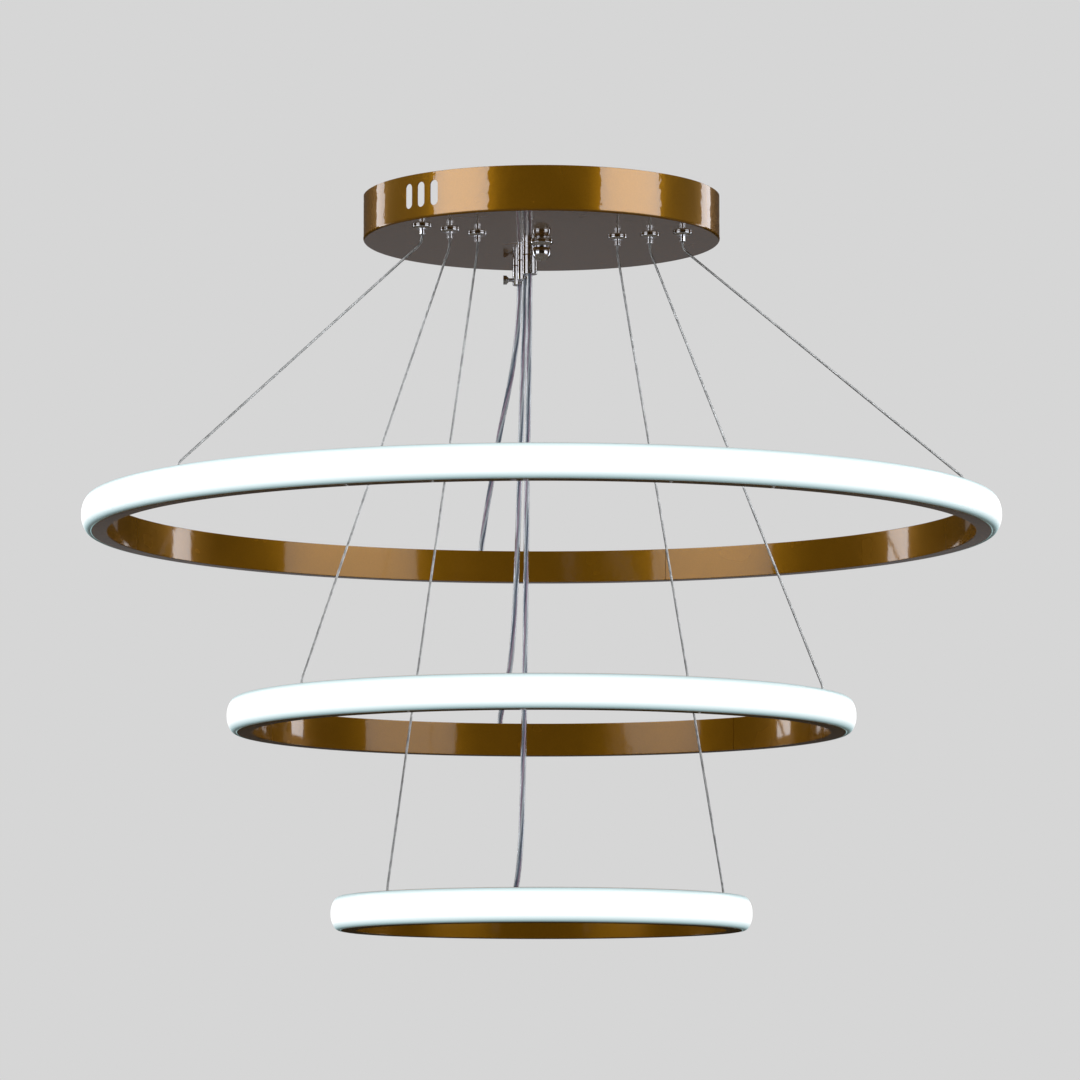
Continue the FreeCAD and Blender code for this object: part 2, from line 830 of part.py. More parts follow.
def channel(ring):
    """The bent metal channel, open outwards, with its seam and line holes."""
    inner, metal = inner_radius(ring), f"{ring}_radius - diffuser_bulge"
    rolled = turned(
        f"{ring}_rolled",
        [
            (inner, "0"),
            (metal, "0"),
            (metal, "channel_wall"),
            (f"{inner} + channel_wall", "channel_wall"),
            (f"{inner} + channel_wall", "ring_height - channel_wall"),
            (metal, "ring_height - channel_wall"),
            (metal, "ring_height"),
            (inner, "ring_height"),
        ],
    )
    radius = size(f"{ring}_radius") - size("diffuser_bulge") - size("channel_depth")
    round_edges(rolled, [(radius, 0), (radius, size("ring_height"))], "channel_edge")
    seam_length = f"channel_depth + {2 * OVERRUN}"
    seam = block(f"{ring}_seam", seam_length, "seam_width", f"ring_height + {2 * OVERRUN}")
    place(seam, f"{inner} - {OVERRUN}", "-seam_width / 2", f"-{OVERRUN}")
    tools = [place(group(f"{ring}_seam_cutter", [seam]), turn=f"{ring}_seam_azimuth")]
    for side in SIDES + ("rear",):
        hole_radius = "cable_radius + hole_clearance * 2"
        if side == "rear":
            hole_radius = "gland_neck + slip_clearance"
        through = f"channel_wall + {2 * OVERRUN}"
        hole = cylinder(f"{ring}_{side}_entry", hole_radius, through)
        x, y = anchor_place(ring, side)
        tools.append(place(hole, x, y, f"ring_height - channel_wall - {OVERRUN}"))
    name = f"{ring}_channel"
    place(publish(name, cut(name, rolled, tools)), z=ring_foot(ring))


def diffuser(ring):
    """The opal diffuser: a rounded cover whose legs clip inside the channel."""
    metal = f"{ring}_radius - diffuser_bulge"
    outer = f"{ring}_radius"
    inside = f"{outer} - diffuser_wall"
    shoulder = f"{metal} + diffuser_gap"
    leg_end = f"{metal} - diffuser_leg"
    leg_low = "channel_wall + slip_clearance"
    leg_high = f"ring_height - ({leg_low})"
    hollow_low = f"{leg_low} + diffuser_wall"
    hollow_high = f"(ring_height - ({hollow_low}))"
    name = f"{ring}_diffuser"
    cover = turned(
        name,
        [
            (leg_end, leg_low),
            (shoulder, leg_low),
            (shoulder, "diffuser_step"),
            (f"{outer} - diffuser_cheek_depth", "diffuser_step"),
            (outer, "diffuser_step + diffuser_cheek_height"),
            (outer, "ring_height - diffuser_step - diffuser_cheek_height"),
            (f"{outer} - diffuser_cheek_depth", "ring_height - diffuser_step"),
            (shoulder, "ring_height - diffuser_step"),
            (shoulder, leg_high),
            (leg_end, leg_high),
            (leg_end, hollow_high),
            (f"{inside} - diffuser_hollow_depth", hollow_high),
            (inside, f"{hollow_high} - diffuser_hollow_height"),
            (inside, f"{hollow_low} + diffuser_hollow_height"),
            (f"{inside} - diffuser_hollow_depth", hollow_low),
            (leg_end, hollow_low),
        ],
    )
    front, step = size(f"{ring}_radius"), size("diffuser_step")
    low = size("channel_wall") + size("slip_clearance") + size("diffuser_wall")
    hollow = front - size("diffuser_wall")
    for radius, height, rounding in (
        (front - size("diffuser_cheek_depth"), step, "diffuser_corner_round"),
        (front, step + size("diffuser_cheek_height"), "diffuser_cheek_round"),
        (hollow - size("diffuser_hollow_depth"), low, "diffuser_hollow_corner"),
        (hollow, low + size("diffuser_hollow_height"), "diffuser_hollow_round"),
    ):
        edges = [(radius, height), (radius, size("ring_height") - height)]
        round_edges(cover, edges, rounding)
    place(publish(name, cover), z=ring_foot(ring))


def led_strip(ring):
    """The flexible circuit strip on the channel's inner wall, and its LED chips."""
    back = f"{inner_radius(ring)} + channel_wall + slip_clearance"
    front = f"{back} + strip_thickness"
    low, high = "ring_height / 2 - strip_width / 2", "ring_height / 2 + strip_width / 2"
    name = f"{ring}_led_strip"
    corners = [(back, low), (front, low), (front, high), (back, high)]
    place(publish(name, turned(name, corners)), z=ring_foot(ring))
    front_radius = size(f"{ring}_radius") - size("diffuser_bulge") - size("channel_depth")
    front_radius += size("channel_wall") + size("slip_clearance") + size("strip_thickness")
    count = int(2 * math.pi * front_radius / size("chip_spacing"))
    chips = []
    for index in range(count):
        chip = block(f"{ring}_chip_{index}", "chip_thickness", "chip_width", "chip_height")
        corner = FreeCAD.Vector(front_radius, -size("chip_width") / 2, 0)
        turn = FreeCAD.Rotation(FreeCAD.Vector(0, 0, 1), 360 * (index + 0.5) / count)
        chip.Placement = FreeCAD.Placement(turn.multVec(corner), turn)
        chips.append(chip)
    name = f"{ring}_led_chips"
    height = f"{ring_foot(ring)} + ring_height / 2 - chip_height / 2"
    place(publish(name, group(name, chips)), z=height)


def splice(ring):
    """The curved plate behind the seam, with two grub screws that hold it."""
    back = f"{inner_radius(ring)} + channel_wall + thread_clearance"
    span = f"splice_length / ({back}) * 180 / pi"
    outer = cylinder(f"{ring}_splice_outer", f"{back} + splice_thickness", "splice_width")
    bind(outer, Angle=span)
    through = f"splice_width + {2 * OVERRUN}"
    inner = place(cylinder(f"{ring}_splice_inner", back, through), z=f"-{OVERRUN}")
    tools = [inner]
    screws = []
    height = "splice_width / 2"
    for index, share in enumerate(("grub_inset", "splice_length - grub_inset")):
        angle = f"({share}) / ({back}) * 180 / pi"
        hole = cylinder(
            f"{ring}_grub_hole_{index}",
            "grub_radius + thread_clearance",
            f"splice_thickness + {2 * OVERRUN}",
        )
        place(hole, f"{back} - {OVERRUN}", "0", height, tilt=True)
        tools.append(place(group(f"{ring}_grub_cutter_{index}", [hole]), turn=angle))
        grub = cylinder(f"{ring}_grub_{index}", "grub_radius", "splice_thickness")
        place(grub, back, "0", height, tilt=True)
        screws.append(place(group(f"{ring}_grub_turned_{index}", [grub]), turn=angle))
    start = f"{ring}_seam_azimuth - ({span}) / 2"
    foot = f"{ring_foot(ring)} + channel_wall + slip_clearance"
    name = f"{ring}_splice_plate"
    place(publish(name, cut(name, outer, tools)), z=foot, turn=start)
    name = f"{ring}_splice_screws"
    place(publish(name, group(name, screws)), z=foot, turn=start)


def anchors(ring):
    """The ferrules on the two steel cables and the gland that grips the cord."""
    ferrules = []
    under_flange = f"{ring_foot(ring)} + ring_height - channel_wall"
    for side in SIDES:
        ferrule = turned(
            f"{ring}_{side}_ferrule",
            [
                ("cable_radius + thread_clearance", "0"),
                ("ferrule_radius", "0"),
                ("ferrule_radius", "ferrule_height"),
                ("cable_radius + thread_clearance", "ferrule_height"),
            ],
        )
        x, y = anchor_place(ring, side)
        ferrules.append(place(ferrule, x, y, f"{under_flange} - ferrule_height"))
    name = f"{ring}_cable_ferrules"
    publish(name, group(name, ferrules))
    name = f"{ring}_cord_gland"
    gland = turned(
        name,
        [
            ("cord_radius + slip_clearance", "0"),
            ("gland_collar", "0"),
            ("gland_collar", "gland_height"),
            ("gland_neck", "gland_height"),
            ("gland_neck", "gland_height + channel_wall"),
            ("cord_radius + slip_clearance", "gland_height + channel_wall"),
        ],
    )
    x, y = anchor_place(ring, "rear")
    place(publish(name, gland), x, y, f"{under_flange} - gland_height")


# ------------------------------------------------------- cables and cords


def in_plane(azimuth, route):
    """Points in space of a route given as (distance from the axis, height)."""
    angle = math.radians(azimuth)
    return [FreeCAD.Vector(r * math.cos(angle), r * math.sin(angle), z) for r, z in route]


def rounded_path(points, radii):
    """Straight runs joined by tangent arcs of the given radii, as one wire."""
    edges = []
    start = points[0]
    for before, corner, after, radius in zip(points, points[1:], points[2:], radii):
        back = (before - corner).normalize()
        ahead = (after - corner).normalize()
        half_turn = (math.pi - back.getAngle(ahead)) / 2
        reach = radius * math.tan(half_turn)
        leave, join = corner + back * reach, corner + ahead * reach
        middle = corner + (back + ahead).normalize() * (radius / math.cos(half_turn) - radius)
        edges.append(Part.LineSegment(start, leave).toShape())
        edges.append(Part.Arc(leave, middle, join).toShape())
        start = join
    edges.append(Part.LineSegment(start, points[-1]).toShape())
    return Part.Wire(edges)


def widest_radii(points):
    """For each corner, the widest arc that its two runs leave room for."""
    radii = []
    for before, corner, after in zip(points, points[1:], points[2:]):
        half_turn = (math.pi - (before - corner).getAngle(after - corner)) / 2
        shorter = min((before - corner).Length, (after - corner).Length)
        radii.append(BEND_SHARE * shorter / math.tan(half_turn))
    return radii


def tube_along(name, points, radii, radius):
    """A round solid along a path, checked against its section times its length."""
    path = rounded_path(points, radii)
    start = Part.Circle(points[0], points[1] - points[0], radius).toShape()
    item = doc.addObject("Part::Feature", name)
    item.Shape = path.makePipeShell([Part.Wire([start])], True, False)
    ratio = item.Shape.Volume / (math.pi * radius**2 * path.Length)
    print(f"{name}: {path.Length:.1f} long, tightest bend {min(radii):.1f}, fill {ratio:.4f}")
    if abs(ratio - 1) > 0.01:
        raise RuntimeError(f"{name}: the volume isn't the section times the length")
    publish(name, item)


def steel_cable(ring, side):
    """A taut cable from its gripper to its ferrule."""
    line = size(f"{ring}_line_radius")
    anchor = size(f"{ring}_radius") - size("diffuser_bulge") - size("channel_depth")
    anchor += size("anchor_inset")
    nipple = -size("canopy_height") - size("gripper_dome_height")
    nipple -= size("gripper_flange_thickness") + size("plunger_reach")
    tail = size("barrel_height") + size("cable_tail") - size("canopy_height")
    flange = -size(f"{ring}_drop")
    end = flange - size("channel_wall") - size("ferrule_height") / 2
    route = [
        (line, tail),
        (line, nipple - size("cable_exit_drop")),
        (anchor, flange + size("cable_entry_rise")),
        (anchor, end),
    ]
    bends = [size("cable_exit_bend"), size("cable_entry_bend")]
    points = in_plane(size(f"{side}_azimuth"), route)
    tube_along(f"{ring}_{side}_cable", points, bends, size("cable_radius"))


def power_cord(ring):
    """A clear cord from its splice cap, through its outlet, to its ring's gland."""
    line, anchor = CORD_ROUTES[ring][0][0], CORD_ROUTES[ring][-1][0]
    top = size("nipple_height") + size("splice_cap_depth") - size("canopy_height")
    end = -size(f"{ring}_drop") - size("channel_wall") - size("cord_tail")
    route = [(line, top)] + CORD_ROUTES[ring] + [(anchor, end)]
    points = in_plane(size("rear_azimuth"), route)
    tube_along(f"{ring}_power_cord", points, widest_radii(points), size("cord_radius"))


# ------------------------------------------------------------- build it all


def build():
    """Make every sub-part."""
    fill_sheet()
    canopy_shell()
    ceiling_bracket()
    stud_and_ball_nut()
    grippers()
    inner_hex_nuts()
    cord_outlets()
    driver()
    terminal_block()
    for ring in RINGS:
        channel(ring)
        diffuser(ring)
        led_strip(ring)
        splice(ring)
        anchors(ring)
        for side in SIDES:
            steel_cable(ring, side)
        power_cord(ring)
    doc.recompute()


def check():
    """Stop if any object failed, or if a sub-part's shape isn't sound."""
    for item in doc.Objects:
        if "Invalid" in item.State or "Error" in item.State:
            raise RuntimeError(f"{item.Label} failed: {item.State}")
    for name, item in nodes.items():
        if item.Shape.isNull() or not item.Shape.isValid() or not item.Shape.Solids:
            raise RuntimeError(f"{name} has no sound solid")


def write_out():
    """Write each sub-part to its own file."""
    os.makedirs("parts", exist_ok=True)
    for name, item in nodes.items():
        item.Shape.exportStep(f"parts/{name}.step")
        print(f"{name}: {len(item.Shape.Solids)} solid(s), {item.Shape.Volume:.1f} mm3")
    print(f"{len(nodes)} sub-parts")


build()
check()
write_out()
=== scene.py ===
"""A three-ring LED chandelier with a glossy bronze-gold canopy.

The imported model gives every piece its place. This script dresses it: it turns the lacquered metal, the opal covers
and the plated fittings on fine meshes, strands the steel cables, fills the clear cords with their twisted cores,
and sets up the camera and a plain studio.
"""

import json
import logging
import math
from dataclasses import dataclass, field
from enum import Enum
from typing import Any, Callable, Sequence

import bpy
from mathutils import Matrix, Vector


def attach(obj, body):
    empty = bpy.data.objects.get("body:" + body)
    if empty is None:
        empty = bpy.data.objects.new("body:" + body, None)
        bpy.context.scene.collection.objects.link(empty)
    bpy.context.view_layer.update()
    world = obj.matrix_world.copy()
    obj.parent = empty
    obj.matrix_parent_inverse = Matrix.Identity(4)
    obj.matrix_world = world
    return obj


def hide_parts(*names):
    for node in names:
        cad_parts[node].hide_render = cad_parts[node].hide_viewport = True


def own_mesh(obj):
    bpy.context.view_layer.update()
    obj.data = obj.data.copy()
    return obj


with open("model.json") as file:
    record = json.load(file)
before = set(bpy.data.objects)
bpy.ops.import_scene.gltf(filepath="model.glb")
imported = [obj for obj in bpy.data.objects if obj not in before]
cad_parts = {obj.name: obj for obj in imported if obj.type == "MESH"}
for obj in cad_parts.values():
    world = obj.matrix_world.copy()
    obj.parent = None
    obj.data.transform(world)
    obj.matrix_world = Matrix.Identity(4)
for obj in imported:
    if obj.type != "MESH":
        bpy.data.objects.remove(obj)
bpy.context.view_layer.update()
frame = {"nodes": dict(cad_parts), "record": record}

log = logging.getLogger("chandelier")

Piece = bpy.types.Object
Tree = bpy.types.NodeTree
Node = bpy.types.Node
Point = tuple[float, float, float]
Profile = list[tuple[float, float]]
Tones = tuple[tuple[float, str, float], ...]


class Ring(Enum):
    """The three light rings, from the top one down."""

    LARGE = "large"
    MEDIUM = "medium"
    SMALL = "small"


class Side(Enum):
    """Where a suspension line leaves the canopy."""

    LEFT = "left"
    RIGHT = "right"
    REAR = "rear"


class Ends(Enum):
    """How a turned shape ends: closed on itself, or with its two ends filled."""

    LOOP = "loop"
    CAPPED = "capped"


def each(kind: type[Enum], *values: float) -> Any:
    """A dataclass field with one value for each member of an Enum."""
    return field(default_factory=lambda: dict(zip(kind, values)))


@dataclass(frozen=True)
class Layout:
    """The lamp's main places in metres and degrees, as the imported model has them."""

    canopy_radius: float = 0.176
    canopy_height: float = 0.044
    canopy_wall: float = 0.0012
    ring_height: float = 0.033
    channel_depth: float = 0.015
    bulge: float = 0.010
    anchor_inset: float = 0.0075
    azimuth: dict[Side, float] = each(Side, 218.5, 338.5, 98.5)
    line_radius: dict[Ring, float] = each(Ring, 0.148, 0.114, 0.080)
    outer_radius: dict[Ring, float] = each(Ring, 0.450, 0.307, 0.205)
    drop: dict[Ring, float] = each(Ring, 0.303, 0.498, 0.690)
    travel: dict[Ring, float] = each(Ring, 0.18, 0.27, 0.24)
    screw_azimuth: dict[Ring, float] = each(Ring, 180.0, 90.0, 90.0)

    def in_plane(self, side: Side, radius: float, height: float) -> Point:
        """A point at a distance from the axis and a height, in a line's upright plane."""
        angle = math.radians(self.azimuth[side])
        return (radius * math.cos(angle), radius * math.sin(angle), height)

    def outlet(self, side: Side, ring: Ring, height: float) -> Point:
        """A point on the upright axis of the outlet that a ring's line leaves through."""
        return self.in_plane(side, self.line_radius[ring], height)

    def anchor_radius(self, ring: Ring) -> float:
        """The distance from the axis at which a line enters its ring."""
        return self.outer_radius[ring] - self.bulge - self.channel_depth + self.anchor_inset


LAYOUT = Layout()
UNDERSIDE = -LAYOUT.canopy_height


# ------------------------------------------------------------------ materials


def linear(code: str) -> tuple[float, ...]:
    """Turn an sRGB hex colour, such as "#6B4A10", to the linear values that shaders take."""
    values = [int(code[i : i + 2], 16) / 255 for i in (1, 3, 5)]
    turned = [v / 12.92 if v <= 0.04045 else ((v + 0.055) / 1.055) ** 2.4 for v in values]
    return (*turned, 1.0)


def add_node(tree: Tree, kind: str, **given) -> Node:
    """Add a node, with its settings, values and links.

    Args:
        tree: The node tree that takes it.
        kind: Blender's name for the node type, without "ShaderNode".
        given: A name that starts with "in_" fills an input by its name or number: a socket or a node's first
            output is linked, and anything else becomes its value. "ramp" gives a colour ramp's stops. Other
            names are settings. A colour can be an sRGB hex code.

    Returns:
        The new node.
    """
    node = tree.nodes.new("ShaderNode" + kind)
    for name, value in given.items():
        if name == "ramp":
            stops = node.color_ramp.elements
            while len(stops) < len(value):
                stops.new(0.5)
            for stop, (position, colour) in zip(stops, value):
                stop.position = position
                stop.color = linear(colour) if isinstance(colour, str) else colour
        elif name.startswith("in_"):
            key = name[3:]
            socket = node.inputs[int(key) if key.isdigit() else key.replace("_", " ")]
            if isinstance(value, Node):
                value = value.outputs[0]
            if isinstance(value, bpy.types.NodeSocket):
                tree.links.new(value, socket)
            else:
                socket.default_value = linear(value) if isinstance(value, str) else value
        else:
            setattr(node, name, value)
    return node


@dataclass(frozen=True)
class Finish:
    """A finish that pieces can take; a subclass says how it is made."""

    name: str
    slot: str = ""

    def make(self) -> bpy.types.Material:
        """The finish as a material, built once and then shared."""
        found = bpy.data.materials.get(self.name)
        if found:
            return found
        material = bpy.data.materials.new(self.name)
        material.use_nodes = True
        material.node_tree.nodes.clear()
        self.dress(material.node_tree)
        return material

    def dress(self, tree: Tree) -> None:
        """Add the pattern nodes, the shader and the output."""
        raise NotImplementedError

    def surface(self, tree: Tree, **given) -> None:
        """Add the shader with its values and links, and the output."""
        add_node(tree, "OutputMaterial", in_Surface=add_node(tree, "BsdfPrincipled", **given))

    def place(self, tree: Tree) -> bpy.types.NodeSocket:
        """The point on the piece, in metres."""
        return add_node(tree, "TexCoord").outputs["Object"]

    def give(self, *pieces: Piece) -> None:
        """Put the finish on pieces, in place of what they had."""
        material = self.make()
        for piece in pieces:
            if not piece.material_slots:
                piece.data.materials.append(material)
            for held in piece.material_slots:
                held.material = material


@dataclass(frozen=True)
class Mottled(Finish):
    """A finish whose tone and gloss vary a little from place to place."""

    light: str = "#FFFFFF"
    deep: str = "#FFFFFF"
    smooth: float = 0.3
    rough: float = 0.45

    def vary(self, tree: Tree, tone: Node, haze: Node) -> dict[str, Node]:
        """Turn patterns to the shader's colour and roughness.

        Args:
            tree: The node tree.
            tone: The pattern that moves between the deep and the light colour.
            haze: The pattern that moves between smooth and rough.

        Returns:
            The shader's inputs.
        """
        stops = [(0.35, self.deep), (0.65, self.light)]
        colour = add_node(tree, "ValToRGB", in_Fac=tone, ramp=stops)
        gloss = add_node(tree, "MapRange", in_Value=haze, in_3=self.smooth, in_4=self.rough)
        return {"in_Base_Color": colour, "in_Roughness": gloss}


@dataclass(frozen=True)
class BronzeLacquer(Mottled):
    """Bronze-gold lacquer, sprayed and baked over metal under a clear coat.

    The pigment gives a warm brown in the dark zones and its flake a soft, grained glow in the bright ones. The clear
    coat mirrors lights paler than gold, and its slight orange peel makes their edges waver.
    """

    light: str = "#936513"
    deep: str = "#8A5F0F"
    smooth: float = 0.22
    rough: float = 0.30
    flake_mm: float = 1.3
    flake_share: float = 0.35
    cloud_mm: float = 1000 / 22
    peel_mm: float = 7.0
    peel_depth: float = 0.0001
    coat_rough: float = 0.03

    def dress(self, tree: Tree) -> None:
        """Set the flake, the peel and the clear coat."""
        place = self.place(tree)
        sizes = ((self.flake_mm, 1.0), (self.cloud_mm, 2.0), (self.peel_mm, 1.0))
        flake, cloud, peel = (
            add_node(tree, "TexNoise", in_Vector=place, in_Scale=1000 / size, in_Detail=detail)
            for size, detail in sizes
        )
        fine = add_node(tree, "Math", operation="MULTIPLY", in_0=flake, in_1=0.6)
        grain = add_node(tree, "Math", operation="MULTIPLY_ADD", in_0=cloud, in_1=0.4, in_2=fine)
        bump = add_node(
            tree, "Bump", in_Height=peel, in_Strength=1.0, in_Distance=self.peel_depth
        )
        self.surface(
            tree,
            **self.vary(tree, grain, cloud),
            in_Normal=bump,
            in_Coat_Normal=bump,
            in_Metallic=self.flake_share,
            in_Specular_IOR_Level=0.0,
            in_Coat_Weight=1.0,
            in_Coat_Roughness=self.coat_rough,
            in_Coat_IOR=1.5,
        )


@dataclass(frozen=True)
class BareMetal(Mottled):
    """A metal surface without lacquer: chrome plate, zinc plate, turned brass or drawn steel.

    Faint clouds of another tone and of roughness keep it from looking like a perfect mirror, as handling and the
    plating bath do.
    """

    smooth: float = 0.05
    rough: float = 0.12
    cloud_mm: float = 14.0

    def dress(self, tree: Tree) -> None:
        """Set the clouds of tone and roughness."""
        scale = 1000 / self.cloud_mm
        cloud = add_node(
            tree, "TexNoise", in_Vector=self.place(tree), in_Scale=scale, in_Detail=4.0
        )
        self.surface(tree, **self.vary(tree, cloud, cloud), in_Metallic=1.0)


@dataclass(frozen=True)
class OpalAcrylic(Finish):
    """Opal acrylic, extruded and bent, lit from inside.

    It glows an even white. The glow dims and cools towards the rounded top and bottom edges, and ends nearly black
    next to the channel's lips: painted shade on the rounded edges and a painted shadow in the gap between cover and
    channel.
    """

    slot: str = "opal_diffuser"
    middle: float = 0.0
    half: float = 0.0162
    # The last stops are painted shade: dimmer and cooler towards the edges, and nearly black next to the channel's
    # lips as a painted shadow in the gap.
    glow: tuple[tuple[float, str], ...] = (
        (0.56, "#FBFBFB"), (0.74, "#CCDCDF"), (0.90, "#8CA9AD"), (1.0, "#16302F"),
    )
    haze_mm: float = 1000 / 180

    def dress(self, tree: Tree) -> None:
        """Set the glow, which depends on the height in the ring and darkens towards the edges as painted shade."""
        place = self.place(tree)
        height = add_node(tree, "SeparateXYZ", in_Vector=place).outputs["Z"]
        above = add_node(tree, "Math", operation="SUBTRACT", in_0=height, in_1=self.middle)
        away = add_node(tree, "Math", operation="ABSOLUTE", in_0=above)
        share = add_node(tree, "Math", operation="DIVIDE", in_0=away, in_1=self.half)
        scale = 1000 / self.haze_mm
        haze = add_node(tree, "TexNoise", in_Vector=place, in_Scale=scale, in_Detail=2.0)
        self.surface(
            tree,
            in_Emission_Color=add_node(tree, "ValToRGB", in_Fac=share, ramp=self.glow),
            in_Emission_Strength=1.0,
            in_Roughness=add_node(tree, "MapRange", in_Value=haze, in_3=0.28, in_4=0.4),
            in_Base_Color="#D2D8D8",
            in_IOR=1.49,
        )


@dataclass(frozen=True)
class ClearVinyl(Finish):
    """Clear soft PVC, extruded over the cores, with a faint cool tint and slight ripples."""

    ripple_mm: float = 6.25

    def dress(self, tree: Tree) -> None:
        """Set the clear wall and its ripples."""
        scale = 1000 / self.ripple_mm
        ripple = add_node(
            tree, "TexNoise", in_Vector=self.place(tree), in_Scale=scale, in_Detail=1.0
        )
        self.surface(
            tree,
            in_Normal=add_node(
                tree, "Bump", in_Height=ripple, in_Strength=0.25, in_Distance=0.0004
            ),
            in_Base_Color="#EEF3FA",
            in_Transmission_Weight=1.0,
            in_Roughness=0.06,
            in_IOR=1.40,
        )


@dataclass(frozen=True)
class MouldedPlastic(Mottled):
    """Moulded or extruded plastic, or another coloured insulator, with a fine spark-eroded texture."""

    grain_mm: float = 1.2
    bump: float = 0.25
    tone_mm: float = 25.0

    def dress(self, tree: Tree) -> None:
        """Set the texture and its slight change of tone."""
        place = self.place(tree)
        grain, tone = (
            add_node(tree, "TexNoise", in_Vector=place, in_Scale=1000 / size, in_Detail=2.0)
            for size in (self.grain_mm, self.tone_mm)
        )
        bump = add_node(
            tree, "Bump", in_Height=grain, in_Strength=self.bump, in_Distance=0.0001
        )
        self.surface(tree, **self.vary(tree, tone, tone), in_Normal=bump, in_IOR=1.53)


# The canopy's coat ripples more than the rings' drawn channels.
LACQUER = BronzeLacquer("bronze_gold_lacquer", "gold_lacquer_steel")
RING_LACQUER = BronzeLacquer(
    "bronze_gold_lacquer_on_rings", "gold_lacquer_aluminium", peel_depth=0.00003, coat_rough=0.06
)
# Chrome is a bright hard mirror. Zinc is a dull cool grey, duller on threads. Drawn steel looks darker in its lays.
CHROME = BareMetal("chrome_plate", "chrome_plate", "#C3C4C6", "#B2B3B6")
ZINC = BareMetal("zinc_plate", "zinc_steel", "#C9CAC6", "#B4B6B6", 0.22, 0.36, 9.0)
THREADED = BareMetal("threaded_zinc", "zinc_steel", "#BDBDB8", "#A6A7A6", 0.25, 0.4, 5.0)
CABLE_STEEL = BareMetal("drawn_cable_steel", "cable_steel", "#B4B4B2", "#8E8E8C", 0.25, 0.42, 6.0)
SPRING = BareMetal("spring_steel", "spring_steel", "#A8A8A6", "#8C8C8A", 0.25, 0.4, 6.0)
BRASS = BareMetal("turned_brass", "collet_brass", "#D6B56A", "#C09C50", 0.18, 0.3, 5.0)
# The cores' thin PVC is satin, and shows through the clear jacket as pale, rose and slate lines.
CLEAR = ClearVinyl("clear_vinyl_jacket", "clear_cord")
SILVER_CORE = MouldedPlastic("white_insulation", "clear_cord", "#F4F8F9", "#E4EDF0")
ROSE_CORE = MouldedPlastic("rose_insulation", "clear_cord", "#E2CBDA", "#CDB2C6")
SLATE_CORE = MouldedPlastic("slate_insulation", "clear_cord", "#98A4B4", "#818DA0")
# Nylon is creamy and half glossy, ABS white and grained, the board a dark green laminate, the phosphor yellow.
NYLON = MouldedPlastic("natural_nylon", "cap_nylon", "#E3DFD2", "#D4D0C2", 0.3, 0.42)
CLEAR_NYLON = MouldedPlastic("clear_nylon", "gland_nylon", "#DADCDC", "#CBCFCF", 0.2, 0.3)
DRIVER_ABS = MouldedPlastic(
    "white_abs", "driver_plastic", "#E8E8E4", "#DEDED9", 0.42, 0.55, 1.0, 0.35
)
POLYAMIDE = MouldedPlastic(
    "natural_polyamide", "terminal_plastic", "#DAD7C8", "#CDCAB9", 0.35, 0.5
)
BOARD = MouldedPlastic("green_board", "board_laminate", "#2E6A3C", "#235A32")
STRIP = MouldedPlastic("white_circuit_strip", "strip_laminate", "#EDEDEA", "#E2E2DE", 0.35, 0.5)
PHOSPHOR = MouldedPlastic(
    "led_phosphor", "chip_phosphor", "#EFDF7A", "#E2CF62", 0.2, 0.3, 0.8, 0.1
)

SLOT_FINISHES: dict[str, Finish] = {
    finish.slot: finish
    for finish in (
        LACQUER, RING_LACQUER, CHROME, ZINC, CABLE_STEEL, SPRING, BRASS, CLEAR, NYLON,
        CLEAR_NYLON, DRIVER_ABS, POLYAMIDE, BOARD, STRIP, PHOSPHOR, OpalAcrylic("opal_acrylic"),
    )
}


# -------------------------------------------------------------- mesh by hand


def deselect() -> None:
    """Leave edit mode and select nothing."""
    if bpy.context.object and bpy.context.object.mode != "OBJECT":
        bpy.ops.object.mode_set(mode="OBJECT")
    bpy.ops.object.select_all(action="DESELECT")


def activate(*pieces: Piece) -> None:
    """Select these pieces alone, the first of them active."""
    deselect()
    for piece in pieces:
        piece.select_set(True)
    bpy.context.view_layer.objects.active = pieces[0]


def settle(piece: Piece) -> None:
    """Move a piece's place, turn and scale into its mesh."""
    activate(piece)
    bpy.ops.object.transform_apply(location=True, rotation=True, scale=True)


def put(piece: Piece, place: Matrix) -> None:
    """Move a piece to a place, which goes into its mesh."""
    piece.matrix_world = place
    settle(piece)


def apply_modifier(piece: Piece, kind: str, **settings) -> None:
    """Add a modifier with its settings and apply it.

    Args:
        piece: The piece that it changes.
        kind: Blender's name for the modifier type.
        settings: The modifier's settings by name.
    """
    activate(piece)
    modifier = piece.modifiers.new(kind.lower(), kind)
    for name, value in settings.items():
        setattr(modifier, name, value)
    bpy.ops.object.modifier_apply(modifier=modifier.name)


def smooth(piece: Piece, degrees: float = 30.0) -> None:
    """Shade smooth, except across edges sharper than an angle, and keep large faces flat beside their bevels."""
    activate(piece)
    bpy.ops.object.shade_smooth_by_angle(angle=math.radians(degrees))
    apply_modifier(piece, "WEIGHTED_NORMAL", keep_sharp=True)


def bevel(piece: Piece, width: float, steps: int = 2, degrees: float = 35.0) -> None:
    """Round the edges sharper than an angle.

    Args:
        piece: The piece.
        width: How far the rounding reaches on each side.
        steps: How many faces it has.
        degrees: The angle.
    """
    limit = {"limit_method": "ANGLE", "angle_limit": math.radians(degrees)}
    apply_modifier(piece, "BEVEL", width=width, segments=steps, use_clamp_overlap=True, **limit)


def join(name: str, pieces: Sequence[Piece]) -> Piece:
    """Make one object of several and name it.

    Args:
        name: The object's name, and its mesh's.
        pieces: The objects to join.

    Returns:
        The joined object.
    """
    activate(*pieces)
    if len(pieces) > 1:
        bpy.ops.object.join()
    whole = bpy.context.object
    whole.name = whole.data.name = name
    return whole


